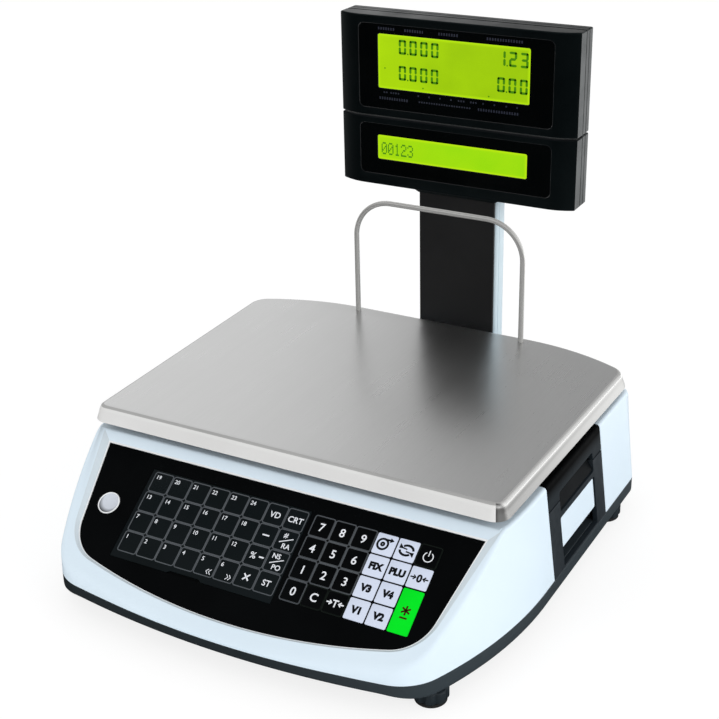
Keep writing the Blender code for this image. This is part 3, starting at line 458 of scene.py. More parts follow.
def joined(meshes):
    """One bmesh from several."""
    whole = bmesh.new()
    for part in meshes:
        temp = bpy.data.meshes.new("temp")
        part.to_mesh(temp)
        part.free()
        whole.from_mesh(temp)
        bpy.data.meshes.remove(temp)
    return whole


def circle(cx, cy, radius, count=48):
    return [(cx + radius * math.cos(2 * math.pi * i / count), cy + radius * math.sin(2 * math.pi * i / count))
            for i in range(count)]


def rounded_rectangle(x0, x1, y0, y1, radius, steps=8):
    corners = [(x1 - radius, y0 + radius, -90), (x1 - radius, y1 - radius, 0),
               (x0 + radius, y1 - radius, 90), (x0 + radius, y0 + radius, 180)]
    points = []
    for cx, cy, start in corners:
        for i in range(steps + 1):
            angle = math.radians(start + 90 * i / steps)
            points.append((cx + radius * math.cos(angle), cy + radius * math.sin(angle)))
    return points


def arc(centre, radius, start, end, steps):
    return [(centre[0] + radius * math.cos(start + (end - start) * i / steps),
             centre[1] + radius * math.sin(start + (end - start) * i / steps)) for i in range(steps + 1)]


def heading(centre, point):
    return math.atan2(point[1] - centre[1], point[0] - centre[0])


def mirrored(right_half):
    return right_half + [(-x, y) for x, y in reversed(right_half) if x > 1e-6]


def inward(outline):
    """Inward step per unit of offset at each point of a counter-clockwise outline."""
    steps = []
    count = len(outline)
    for i in range(count):
        before, here, after = (Vector(outline[k % count]) for k in (i - 1, i, i + 1))
        n1 = Vector((before.y - here.y, here.x - before.x)).normalized()
        n2 = Vector((here.y - after.y, after.x - here.x)).normalized()
        bisector = (n1 + n2).normalized()
        steps.append(bisector / max(bisector.dot(n1), 0.5))
    return steps


def offset(outline, distance):
    return [(x + step.x * distance, y + step.y * distance) for (x, y), step in zip(outline, inward(outline))]


def rounded_slab(outline, low, high, radius, steps=5):
    """Extrusion along z with rounded top and bottom edges."""
    rings = []
    for i in range(steps + 1):
        turn = math.pi / 2 * i / steps
        ring = offset(outline, radius * (1 - math.sin(turn)))
        rings.append((ring, low + radius * (1 - math.cos(turn))))
    rings += [(ring, high + low - level) for ring, level in reversed(rings)]
    return loft(raised(rings))


# ---------------------------------------------------------------- case

def fillet_centre(c1, r1, c2, r2, r):
    """Centre of a circle of radius r inside two larger circles and touching both, on their +X -Y side."""
    d1, d2 = r1 - r, r2 - r
    dx, dy = c2[0] - c1[0], c2[1] - c1[1]
    dist = math.hypot(dx, dy)
    along = (d1 * d1 - d2 * d2 + dist * dist) / (2 * dist)
    off = math.sqrt(max(d1 * d1 - along * along, 0.0))
    middle = (c1[0] + dx * along / dist, c1[1] + dy * along / dist)
    options = [(middle[0] + s * off * dy / dist, middle[1] - s * off * dx / dist) for s in (1, -1)]
    return max(options, key=lambda p: p[0] - p[1])


def case_outline(steps=ARC_STEPS):
    """Plan of the case at its base, counter-clockwise from the middle of the nose."""
    nose = (0.0, CASE_FRONT + NOSE_RADIUS)
    cheek = (CASE_SIDE - CHEEK_RADIUS, CHEEK_START)
    corner = fillet_centre(nose, NOSE_RADIUS, cheek, CHEEK_RADIUS, NOSE_CORNER)
    nose_end = heading(nose, corner)
    cheek_end = heading(cheek, corner)
    points = arc(nose, NOSE_RADIUS, -math.pi / 2, nose_end, steps)
    points += arc(corner, NOSE_CORNER, nose_end, cheek_end, steps)[1:]
    points += arc(cheek, CHEEK_RADIUS, cheek_end, 0.0, steps)[1:]
    rear = (CASE_SIDE - REAR_CORNER, CASE_REAR - REAR_CORNER)
    points += arc(rear, REAR_CORNER, 0.0, math.pi / 2, steps // 2)
    return mirrored(points)


def reaches(node, axis):
    """Places of a node's points along an axis, in millimetres."""
    return [axis.dot(v.co) / MM for v in NODES[node].data.vertices]


def panel_frame():
    """The point u = n = 0: the top edge of the keys, on the face of the keyboard panel."""
    top_of_keys = max(reaches("key_7", UPHILL)) + KEY_GAP / 2
    return UPHILL * top_of_keys + NORMAL * max(reaches("keyboard_panel", NORMAL))


KEY_ORIGIN = panel_frame()
PANEL_TOP_U = max(reaches("keyboard_panel", UPHILL)) - UPHILL.dot(KEY_ORIGIN) + GAP
PANEL_BOTTOM_U = min(reaches("keyboard_panel", UPHILL)) - UPHILL.dot(KEY_ORIGIN) - GAP


def on_panel(x, u, n):
    return Vector((x, 0.0, 0.0)) + KEY_ORIGIN + UPHILL * u + NORMAL * n


def laid(sections):
    """Rings from pairs of an outline in the keyboard plane and its height above that plane."""
    return [[on_panel(x, u, n) for x, u in ring] for ring, n in sections]


def panel_span(node):
    """x0, x1, u0, u1, n0, n1 of a node in the keyboard plane."""
    rel = [v.co / MM - KEY_ORIGIN for v in NODES[node].data.vertices]
    axes = ((1, 0, 0), UPHILL, NORMAL)
    values = [[Vector(axis).dot(v) for v in rel] for axis in axes]
    return [edge for group in values for edge in (min(group), max(group))]


RIDGE_Y = KEY_ORIGIN.y + (DECK_TOP - RIM_RISE - KEY_ORIGIN.z) / math.tan(SLOPE)


def deck_z(y):
    """Height of the deck: sloping with the keyboard, and level behind the ridge."""
    return KEY_ORIGIN.z + (min(y, RIDGE_Y) - KEY_ORIGIN.y) * math.tan(SLOPE) + RIM_RISE


def shoulder_profile(point, step, steps):
    """Leaning wall and rounded shoulder above one outline point."""
    px, py = point
    direction = step.normalized()
    lean = (LEFT_LEAN if direction.x > 0.0 else SIDE_LEAN) * abs(direction.x)
    shoulder = SHOULDER + (SIDE_SHOULDER - SHOULDER) * abs(direction.x)
    rise = direction.y * math.tan(SLOPE) if py < RIDGE_Y else 0.0
    corner_z = (deck_z(py) - BAND_TOP * rise * lean) / (1.0 - rise * lean)
    corner_d = lean * (corner_z - BAND_TOP)
    low_z = corner_z - min(shoulder, 0.8 * (corner_z - BAND_TOP))
    low_d = lean * (low_z - BAND_TOP)
    high_d = corner_d + shoulder
    high_z = deck_z(py + direction.y * high_d)
    profile = [(0.35, SEAM), (0.0, SEAM + 0.4)]
    for i in range(steps + 1):
        t = i / steps
        profile.append((curve_at(t, low_d, corner_d, high_d), curve_at(t, low_z, corner_z, high_z)))
    return [(px + direction.x * d, py + direction.y * d, z) for d, z in profile]


def case_form(steps=7):
    outline = case_outline()
    profiles = [shoulder_profile(p, m, steps) for p, m in zip(outline, inward(outline))]
    bm = loft(list(zip(*profiles)))
    cap = max(bm.faces, key=lambda f: f.calc_center_median().z * len(f.verts))
    parts = [cap, *cap.edges, *cap.verts]
    split = bmesh.ops.bisect_plane(bm, geom=parts, plane_co=(0, RIDGE_Y, 0), plane_no=(0, 1, 0))
    for item in split["geom_cut"]:
        if isinstance(item, bmesh.types.BMVert):
            item.co.z = DECK_TOP
    return bm


def case_cavity():
    outline = offset(case_outline(), WALL)
    top = DECK_TOP - WALL
    upper = []
    for (x, y), m in zip(outline, inward(outline)):
        lean = SIDE_LEAN * abs(m.x) * (top - BAND_TOP)
        upper.append((x + m.x * lean, y + m.y * lean))
    bm = loft(raised([(outline, BAND_TOP - 1.0), (upper, top)]))
    below = on_panel(0.0, 0.0, -(PANEL_THICK + GAP + 2.0))
    bmesh.ops.bisect_plane(bm, geom=[*bm.verts, *bm.edges, *bm.faces], plane_co=below, plane_no=NORMAL,
                           clear_outer=True)
    bmesh.ops.holes_fill(bm, edges=[e for e in bm.edges if e.is_boundary])
    return bm


def panel_outline(steps=ARC_STEPS, shrink=0.0):
    """Outline of the keyboard panel in x and u."""
    bottom = (0.0, PANEL_BOTTOM_U + PANEL_BOTTOM_RADIUS)
    lean = math.atan(PANEL_SIDE_TAPER)
    side = Vector((-math.sin(lean), -math.cos(lean)))
    inner = Vector((-math.cos(lean), math.sin(lean)))
    foot = Vector((PANEL_TOP_HALF, PANEL_TOP_U)) + inner * PANEL_CORNER
    rel = foot - Vector(bottom)
    b = rel.dot(side)
    corner = foot + side * (-b + math.sqrt(b * b - rel.dot(rel) + (PANEL_BOTTOM_RADIUS - PANEL_CORNER) ** 2))
    bottom_end = heading(bottom, corner)
    points = arc(bottom, PANEL_BOTTOM_RADIUS, -math.pi / 2, bottom_end, steps)
    points += arc(corner, PANEL_CORNER, bottom_end, -lean, steps)[1:]
    points.append((PANEL_TOP_HALF, PANEL_TOP_U))
    return offset(mirrored(points), shrink)


def flared(outline, scale):
    """The panel outline opened outwards as it rises to the rim."""
    moved = []
    for (x, u), m in zip(outline, inward(outline)):
        if u > PANEL_TOP_U - 0.1:
            moved.append((x + math.copysign(FLARE_SIDE * scale, x), u + FLARE_TOP * scale))
        else:
            share = max(0.0, (u - PANEL_BOTTOM_U) / (PANEL_TOP_U - PANEL_BOTTOM_U))
            width = FLARE_BOTTOM + (FLARE_SIDE - FLARE_BOTTOM) * share ** 1.4
            moved.append((x - m.x * width * scale, u - m.y * width * scale))
    return moved


def inside(point, outline):
    """Whether a point lies within a closed outline."""
    x, y = point
    hits = 0
    for (ax, ay), (bx, by) in zip(outline, outline[1:] + outline[:1]):
        if (ay > y) != (by > y) and x < ax + (y - ay) * (bx - ax) / (by - ay):
            hits += 1
    return hits % 2 == 1


def shade_flare(shell):
    """Give the sunken sides round the keyboard painted shade: a greyer copy of the white plastic."""
    shell.data.materials.append(WHITE_FLARE_SHADE.mat)
    reach = flared(panel_outline(), 1.02)
    for face in shell.data.polygons:
        rel = Vector(face.center) / MM - KEY_ORIGIN
        u, n = UPHILL.dot(rel), NORMAL.dot(rel)
        tilted = 0.2 < NORMAL.dot(face.normal) < 0.985
        if tilted and -0.2 < n < 3.2 and u < PANEL_TOP_U + 0.3 and inside((rel.x, u), reach):
            face.material_index = 1


def panel_well():
    """Cutter for the sunken place of the panel: straight wall, flare, and a rounded lip into the deck."""
    outline = panel_outline()
    rise = RIM_RISE * math.cos(SLOPE)
    shape = [(0.0, -PANEL_THICK - GAP), (0.0, -0.15), (0.04, 0.1), (0.8, 0.8 * rise), (0.93, 0.94 * rise),
             (1.06, 1.01 * rise), (1.6, 1.16 * rise)]
    return loft(laid([(flared(outline, scale), n) for scale, n in shape]))


def round_edges(obj, test, width, steps=3):
    """Round the sharp edges whose two ends pass a test, given in millimetres."""
    bm = bmesh.new()
    bm.from_mesh(obj.data)
    picked = [e for e in bm.edges if len(e.link_faces) == 2 and e.calc_face_angle(0.0) > math.radians(50)
              and all(test(v.co / MM) for v in e.verts)]
    bmesh.ops.bevel(bm, geom=picked, offset=width * MM, segments=steps, profile=0.5, affect="EDGES",
                    clamp_overlap=True)
    bm.to_mesh(obj.data)
    bm.free()
    soften(obj)


def make_top_case():
    shell = solid("top_case_shell", case_form(), WHITE)
    carve(shell, case_cavity(), WHITE)
    carve(shell, panel_well(), WHITE)
    y0, y1 = COVER_LOW.y - GAP, COVER_HIGH.y + GAP
    carve(shell, block(BAY_SIDE, BEYOND, y0, y1, 10.0, 130.0), WHITE)
    support_hole = rounded_rectangle(28.0, 62.0, 10.0, 50.0, 4.0)
    carve(shell, rounded_slab(support_hole, 80.0, 130.0, 1.0), WHITE)
    round_edges(shell, lambda p: p.x > 150 and min(abs(p.y - y0), abs(p.y - y1)) < 0.02, 0.7)
    shade_flare(shell)
    flats(shell)
    return mount(shell, "case", ["top_case"])


def foot_places():
    return {name[len("foot_pad_"):]: ((span(name)[0] + span(name)[1]) / 2) for name in NODES
            if name.startswith("foot_pad_")}


def smooth_step(value, start, end):
    t = min(max((value - start) / (end - start), 0.0), 1.0)
    return t * t * (3 - 2 * t)


def band_edge(x):
    """Lower edge of the black band: higher across the nose, lower along the flanks."""
    return BAND_BOTTOM + 1.0 + (BAND_SIDE - BAND_BOTTOM - 1.0) * smooth_step(abs(x), 125.0, 162.0)


def base_look():
    """The tub's plastic, with painted light: paler along its right flank."""
    look = moulded("base_plastic", (0.019, 0.026, 0.030), (0.024, 0.031, 0.036), 0.45, 0.25, 0.55, 0.02)
    flank = look.remap(look.axes()["X"], 0.0, 1.0, 0.03, 0.16)
    look.set("Base Color", look.mix(flank, (0.020, 0.027, 0.031), (0.036, 0.048, 0.056)))
    return look


def make_base():
    """Black tub with a rounded lower lip, its floor, and the four foot bosses."""
    outline = case_outline()
    top = SEAM - GAP
    rings = []
    for inset, rise in ((3.6, 0.6), (1.7, 0.0), (0.7, 0.35), (0.15, 1.2), (0.0, 2.4)):
        edge = [band_edge(x) + rise for x, _ in outline]
        rings.append([(x, y, z) for (x, y), z in zip(offset(outline, inset), edge)])
    inner = ((0.0, top - 0.4), (0.4, top), (TUB_WALL, top), (TUB_WALL, BAND_BOTTOM + TUB_FLOOR),
             (TUB_WALL, BAND_BOTTOM))
    rings += raised([(offset(outline, inset), z) for inset, z in inner])
    rim = loft(rings + rings[:1], False)
    base = solid("base_rim", rim, base_look())
    mount(flats(base), "case", ["base_case"])
    bottom = prism(offset(outline, TUB_WALL - 0.1), BAND_BOTTOM, BAND_BOTTOM + TUB_FLOOR)
    floor = solid("base_floor", bottom, BLACK)
    for centre in foot_places().values():
        steps = ((9.0, BAND_BOTTOM - 1.2), (9.0, BAND_BOTTOM + 1.5), (6.2, BAND_BOTTOM + 1.8), (6.2, 29.0))
        boss = raised([(circle(centre.x, centre.y, radius, 36), z) for radius, z in steps])
        carve(floor, loft(boss), BLACK, "UNION")
        carve(floor, prism(circle(centre.x, centre.y, 4.5, 36), 0.0, 60.0), BLACK)
    cell = span("load_cell")[0]
    pedestal = block(cell.x, cell.x + 26.0, 12.0, 48.0, BAND_BOTTOM + 1.0, cell.z - GAP)
    carve(floor, pedestal, BLACK, "UNION")
    soften(floor)
    return mount(floor, "case")


# ---------------------------------------------------------------- feet

def make_feet():
    for name, centre in foot_places().items():
        low, high = span("foot_screw_" + name)
        radius = (high.x - low.x) / 2
        outline = []
        for i in range(96):
            turn = 2 * math.pi * i / 96
            flute = 0.5 + 0.5 * math.cos(turn * 8)
            reach = radius - 1.4 * flute ** 3
            outline.append((centre.x + reach * math.cos(turn), centre.y + reach * math.sin(turn)))
        knob_low, knob_high = low.z, 12.4
        rings = [(1.2, knob_low), (0.4, knob_low + 0.3), (0.0, knob_low + 1.1), (0.0, knob_high - 1.2),
                 (0.5, knob_high - 0.4), (1.4, knob_high)]
        body = [(offset(outline, inset), z) for inset, z in rings]
        stud = ((3.9, 13.0), (3.9, high.z - 0.6), (3.3, high.z))
        body += [(circle(centre.x, centre.y, size, 96), z) for size, z in stud]
        knob = solid("levelling_knob_" + name, loft(raised(body)), BLACK, 30.0)
        mount(knob, "foot_screw_" + name, ["foot_screw_" + name])
        pad_low, pad_high = span("foot_pad_" + name)
        pad_radius = (pad_high.x - pad_low.x) / 2
        rings = [(pad_radius - 5.0, 0.6), (pad_radius - 4.4, 0.0), (pad_radius - 0.6, 0.0), (pad_radius, 0.6),
                 (pad_radius, 2.2), (pad_radius - 0.5, pad_high.z)]
        body = [(circle(centre.x, centre.y, size, 40), z) for size, z in rings]
        pad = solid("rubber_foot_" + name, loft(raised(body)), RUBBER)
        mount(pad, "foot_pad_" + name, ["foot_pad_" + name])


# ---------------------------------------------------------------- keyboard

def plate(outline, n0, n1, edge=0.0):
    """Plate lying in the keyboard plane with a small rounding on its upper edge."""
    rings = [(outline, n0), (outline, n1 - edge)]
    if edge:
        rings += [(offset(outline, 0.3 * edge), n1 - 0.3 * edge), (offset(outline, edge), n1)]
    return loft(laid(rings))


def ring_plate(outer, inner, n0, n1):
    """Thin closed band between two outlines of equally many points, in the keyboard plane."""
    return loft(laid([(outer, n0), (outer, n1), (inner, n1), (inner, n0), (outer, n0)]), False)


def frame_ring(x0, x1, u0, u1, width, radius, n0, n1):
    outer = rounded_rectangle(x0, x1, u0, u1, radius, 5)
    inner = rounded_rectangle(x0 + width, x1 - width, u0 + width, u1 - width, max(radius - width, 0.25), 5)
    return ring_plate(outer, inner, n0, n1)


def key_names():
    return sorted(name for name in NODES if name.startswith("key_"))


PALE_KEYS = ("key_feed", "key_swap", "key_fix", "key_plu", "key_zero", "key_v1", "key_v2", "key_v3", "key_v4")
FAINT_KEYS = ("key_clear", "key_tare", "key_power")


def make_panel_trim():
    """Fine bright lip round the keyboard plate; the lip is real, its paler white than the shell is painted
    highlight.
    """
    outline = panel_outline()
    rows = [(-1.4, -0.6), (-1.4, 0.36), (-0.7, 0.5), (0.02, 0.36), (0.02, -0.6), (-1.4, -0.6)]
    lip = loft(laid([(offset(outline, inset), n) for inset, n in rows]), False)
    mount(flats(solid("panel_trim", lip, TRIM)), "case")


def make_panel():
    panel = solid("keyboard_plate", plate(panel_outline(shrink=GAP), -PANEL_THICK, 0.0, 0.35), FILM)
    pockets = []
    room = 0.09
    for name in key_names():
        x0, x1, u0, u1, _, _ = panel_span(name)
        pocket = rounded_rectangle(x0 - room, x1 + room, u0 - room, u1 + room, 1.3, 4)
        pockets.append(plate(pocket, -2.2, 4.0))
    carve(panel, joined(pockets), FILM)
    x0, x1, u0, u1, _, _ = panel_span("preset_sheet")
    bed = [(x0 - GAP, u0 - GAP), (x1 + GAP, u0 - GAP), (x1 + GAP, u1 + GAP), (x0 - GAP, u1 + GAP)]
    carve(panel, plate(bed, -1.0, 4.0), FILM)
    x0, x1, u0, u1, _, _ = panel_span("spirit_level")
    hole = circle((x0 + x1) / 2, (u0 + u1) / 2, (x1 - x0) / 2 + GAP, 48)
    carve(panel, plate(hole, -8.0, 4.0), FILM)
    soften(panel)
    flats(panel)
    mount(panel, "case", ["keyboard_panel"])


def make_preset_sheet():
    """Film pocket with its tab cut-out, and the printed grid underneath it."""
    x0, x1, u0, u1, n0, n1 = panel_span("preset_sheet")
    tab = (x0 + 52.0, x0 + 80.0)
    outline = [(x0, u0), (tab[0] - 1.0, u0), (tab[0] + 1.5, u0 + 1.8), (tab[1] - 1.5, u0 + 1.8),
               (tab[1] + 1.0, u0), (x1, u0), (x1, u1), (x0, u1)]
    sheet = solid("preset_film", plate(outline, n0, n1 - 0.05, 0.25), POCKET)
    mount(sheet, "case", ["preset_sheet"])
    left = x0 + GAP + 2.7
    grid = []
    for row in range(4):
        for column in range(8):
            x = left + column * KEY_PITCH + 0.05
            u = -(row + 1) * ROW_PITCH + 0.05
            x_end, u_end = x + KEY_PITCH - 0.1, u + ROW_PITCH - 0.1
            grid.append(frame_ring(x, x_end, u, u_end, 0.82, 2.1, n1 - 0.05, n1 + 0.03))
    mount(solid("preset_grid_print", joined(grid), INK_GREY), "case")
    legends = []
    for row in range(4):
        for column in range(6):
            number = (3 - row) * 6 + column + 1
            spot = (left + column * KEY_PITCH + 2.2, -row * ROW_PITCH - 2.6)
            legends.append(glyphs(str(number), spot, 3.3, n1, "LEFT", "TOP", 0.08))
    names = {(0, 6): "VD", (0, 7): "CRT", (3, 7): "ST"}
    for (row, column), text in names.items():
        spot = (left + (column + 0.5) * KEY_PITCH, -(row + 0.5) * ROW_PITCH)
        legends.append(glyphs(text, spot, 4.7, n1, weight=0.2))
    legends += preset_symbols(left, n1)
    mount(solid("preset_legend_print", joined(legends), INK_WHITE), "case")


def stroke(points, width, n, closed=False):
    """Flat ribbon along points of the keyboard plane, a little proud of it."""
    pts = [Vector(p) for p in points]
    count = len(pts)
    left, right = [], []
    for i, here in enumerate(pts):
        before = pts[i - 1] if (i or closed) else here
        after = pts[(i + 1) % count] if (i < count - 1 or closed) else here
        along = (after - before).normalized()
        side = Vector((-along.y, along.x)) * width / 2
        left.append(here + side)
        right.append(here - side)
    if closed:
        return ring_plate(left, right, n, n + INK)
    return polygon(right + left[::-1], n)


def polygon(points, n):
    return loft(laid([(points, n), (points, n + INK)]))


def glyphs(text, spot, height, n, align="CENTER", align_y="CENTER", weight=0.25):
    """Letters or digits as a thin mesh lying in the keyboard plane; height is the capitals' height."""
    curve = bpy.data.curves.new("glyphs", "FONT")
    curve.body = text
    curve.size = height / 0.72
    curve.align_x = align
    curve.offset = weight * 0.5
    curve.extrude = 0.03
    curve.resolution_u = 4
    obj = bpy.data.objects.new("glyphs", curve)
    bpy.context.scene.collection.objects.link(obj)
    graph = bpy.context.evaluated_depsgraph_get()
    mesh = bpy.data.meshes.new_from_object(obj.evaluated_get(graph))
    bpy.data.objects.remove(obj)
    drop = -height if align_y == "TOP" else -height / 2
    bm = bmesh.new()
    bm.from_mesh(mesh)
    bpy.data.meshes.remove(mesh)
    for vert in bm.verts:
        vert.co = on_panel(spot[0] + vert.co.x, spot[1] + vert.co.y + drop, n + 0.03 + vert.co.z)
    return bm


def arrow(x, u, direction, n):
    """Arrow that points along +x or -x."""
    tip = x + direction * 1.9
    head = [(x, u + 1.6), (tip, u), (x, u - 1.6)]
    shaft = [(x - direction * 2.2, u), (tip - direction * 0.4, u)]
    return [stroke(head, 1.0, n), stroke(shaft, 1.0, n)]


def preset_symbols(left, n):
    def middle(row, column):
        return left + (column + 0.5) * KEY_PITCH, -(row + 0.5) * ROW_PITCH
    parts = []
    x, u = middle(1, 6)
    parts.append(stroke([(x - 2.8, u), (x + 2.8, u)], 1.1, n))
    x, u = middle(3, 6)
    for rise in (2.4, -2.4):
        parts.append(stroke([(x - 2.4, u - rise), (x + 2.4, u + rise)], 1.1, n))
    x, u = middle(2, 6)
    parts.append(glyphs("%", (x - 2.6, u + 0.2), 5.2, n, weight=0.12))
    parts.append(stroke([(x + 2.4, u), (x + 6.4, u)], 1.1, n))
    for row, upper, lower in ((1, "#", "RA"), (2, "NS", "PO")):
        x, u = middle(row, 7)
        parts.append(glyphs(upper, (x - 1.6, u + 4.2), 4.0, n, weight=0.16))
        parts.append(glyphs(lower, (x + 1.6, u - 4.2), 4.0, n, weight=0.16))
        parts.append(stroke([(x - 5.0, u - 2.0), (x + 5.2, u + 2.4)], 0.7, n))
    for column, side in ((4, -1), (5, 1)):
        x, u = middle(3, column)
        for shift in (-1.1, 1.1):
            cx = x + 3.6 + shift
            back, tip = cx - side * 0.9, cx + side * 0.9
            parts.append(stroke([(back, u - 2.2), (tip, u - 4.2), (back, u - 6.2)], 0.6, n))
    return parts


def key_symbol(name, x, u, n):
    """Legend of one key as a list of meshes."""
    label = name[len("key_"):]
    if label == "clear":
        return [glyphs("C", (x, u), 6.4, n, weight=0.3)]
    if label in ("fix", "plu", "v1", "v2", "v3", "v4"):
        return [glyphs(label.upper(), (x, u), 5.1, n, weight=0.95)]
    if label.isdigit():
        return [glyphs(label, (x, u), 6.5, n, weight=0.22)]
    if label in ("zero", "tare"):
        letter, weight = ("0", 0.7) if label == "zero" else ("T", 0.3)
        arrows = arrow(x - 4.6, u, 1, n) + arrow(x + 4.6, u, -1, n)
        return [glyphs(letter, (x, u), 5.6, n, weight=weight), *arrows]
    if label == "feed":
        ring = [(x - 1.8 + 4.0 * math.cos(t), u + 4.0 * math.sin(t)) for t in turns(40)]
        hub = [(x - 1.8 + 1.1 * math.cos(t), u + 1.1 * math.sin(t)) for t in turns(24)]
        tip = [(x + 2.9, u + 5.8), (x + 6.0, u + 3.9), (x + 2.9, u + 2.0)]
        return [stroke(ring, 1.6, n, True), stroke(hub, 1.5, n, True), polygon(tip[::-1], n),
                stroke([(x - 1.6, u + 3.9), (x + 3.4, u + 3.9)], 1.4, n)]
    if label == "swap":
        parts = []
        for s in (1, -1):
            sweep = [(x + s * (0.4 + 4.6 * math.cos(t)), u + s * (0.3 + 3.5 * math.sin(t)))
                     for t in (math.radians(4 + 136 * i / 16) for i in range(17))]
            parts.append(stroke(sweep, 1.7, n))
            tip = [(x - s * 5.9, u + s * 4.4), (x - s * 6.0, u + s * 0.6), (x - s * 2.3, u + s * 1.0)]
            parts.append(polygon(tip, n))
            parts.append(stroke([(x - s * 4.8, u + s * 1.5), (x + s * 0.2, u + s * 0.9)], 1.0, n))
        return parts
    if label == "power":
        ring = [(x + 3.6 * math.sin(t), u - 0.6 + 3.6 * math.cos(t))
                for t in (math.radians(32 + 296 * i / 36) for i in range(37))]
        return [stroke(ring, 0.72, n), stroke([(x, u), (x, u + 4.4)], 0.72, n)]
    rays = []
    for i in range(3):
        t = math.radians(90 + 60 * i)
        rays.append(stroke([(x + 3.6 * math.cos(t), u + 0.8 + 3.6 * math.sin(t)),
                            (x - 3.6 * math.cos(t), u + 0.8 - 3.6 * math.sin(t))], 1.3, n))
    rays.append(stroke([(x - 2.8, u - 4.7), (x + 2.8, u - 4.7)], 1.3, n))
    return rays


def turns(count):
    return [2 * math.pi * i / count for i in range(count)]


def make_keys():
    edging, faint = [], []
    for name in key_names():
        x0, x1, u0, u1, n0, n1 = panel_span(name)
        look, ink, finish = KEY_BLACK, INK_WHITE, "key_black"
        if name in PALE_KEYS:
            look, ink, finish = KEY_WHITE, INK_BLACK, "key_white"
        if name == "key_print":
            look, ink, finish = KEY_GREEN, INK_BROWN, "key_green"
        pale = look is not KEY_BLACK
        corner, edge = (1.1, 0.28) if pale else (1.4, 0.1)
        cap = plate(rounded_rectangle(x0, x1, u0, u1, corner, 5), n0, n1, edge)
        mount(solid(name + "_cap", cap, look), name, [name])
        legend = solid(name + "_legend", joined(key_symbol(name, (x0 + x1) / 2, (u0 + u1) / 2, n1)), ink)
        mount(legend, name)
        if not pale:
            inset = 0.06
            tone = INK_FAINT if name in FAINT_KEYS else INK_GREY
            ring = frame_ring(x0 + inset, x1 - inset, u0 + inset, u1 - inset, 0.3, 1.3, n1 - 0.02, n1 + 0.03)
            mount(solid(name + "_outline", ring, tone), name)
            room = KEY_GAP / 2
            band = frame_ring(x0 - room, x1 + room, u0 - room, u1 + room, room - 0.1, 2.0, -0.02, 0.25)
            (faint if name in FAINT_KEYS else edging).append(band)
    mount(solid("panel_outline_print", joined(edging), INK_GREY), "case")
    mount(solid("panel_faint_print", joined(faint), INK_FAINT), "case")


def level_look(centre, radius):
    """Silvered dish: light, with painted shade in a dark crescent towards the operator's left, where the
    bowl's wall is in shade.
    """
    look = Look("level_dish", (0.7, 0.74, 0.8), 0.3, 0.0, 0.3)
    away = look.node("ShaderNodeVectorMath", operation="DISTANCE")
    look.feed(away.inputs[0], look.place)
    away.inputs[1].default_value = (centre + Vector((0.6, 0.0, 0.0)) + UPHILL * 2.4) * MM
    shade = look.remap(away.outputs["Value"], 0.0, 1.0, 0.84 * radius * MM, 1.28 * radius * MM)
    look.set("Base Color", look.mix(shade, (0.64, 0.68, 0.75), (0.03, 0.034, 0.04)))
    look.set("Roughness", look.remap(look.noise(4.0, 2.0), 0.24, 0.36))
    return look.bump(look.noise(2.0, 1.0), 0.0005)


def make_level():
    """Spirit level: bright bezel round a dished silver vial."""
    x0, x1, u0, u1, n0, _ = panel_span("spirit_level")
    x, u, radius = (x0 + x1) / 2, (u0 + u1) / 2, (x1 - x0) / 2
    rim = [(radius, n0), (radius, 0.1), (radius - 0.15, 0.45), (radius - 0.5, 0.6), (radius - 0.85, 0.45),
           (radius - 1.0, 0.0), (radius - 1.0, -1.5)]
    bezel = loft(laid([(circle(x, u, size, 64), n) for size, n in rim]))
    mount(solid("spirit_level_bezel", bezel, TRIM, 50.0), "case", ["spirit_level"])
    turnings = [math.radians(90 * i / 12) for i in range(12)]
    mouth = radius - 1.02
    dish = [(mouth, -1.7)] + [(mouth * math.cos(t), 0.05 - 1.1 * math.sin(t)) for t in turnings]
    dish = loft(laid([(circle(x, u, size, 64), n) for size, n in dish]))
    bowl = solid("spirit_level_dish", dish, level_look(on_panel(x, u, 0.0), radius - 1.0), 50.0)
    mount(bowl, "case")


# ---------------------------------------------------------------- platter and guard rail

def tray_outline(steps=14):
    middle = (TRAY_LOW.x + TRAY_HIGH.x) / 2
    half, front, rear = TRAY_HIGH.x - middle, TRAY_LOW.y, TRAY_HIGH.y
    points = arc((half - TRAY_TAPER - 12.0, front + 12.0), 12.0, -math.pi / 2, 0.0, steps)
    rear_c = (80.0, rear - 200.0)
    cx = half - 20.0
    corner = (cx, rear_c[1] + math.sqrt(180.0 ** 2 - (cx - rear_c[0]) ** 2))
    turn = heading(rear_c, corner)
    points += arc(corner, 20.0, 0.0, turn, steps)
    points += arc(rear_c, 200.0, turn, math.pi / 2, steps)[1:]
    return [(x + middle, y) for x, y in mirrored([(0.001, front)] + points)[1:]]


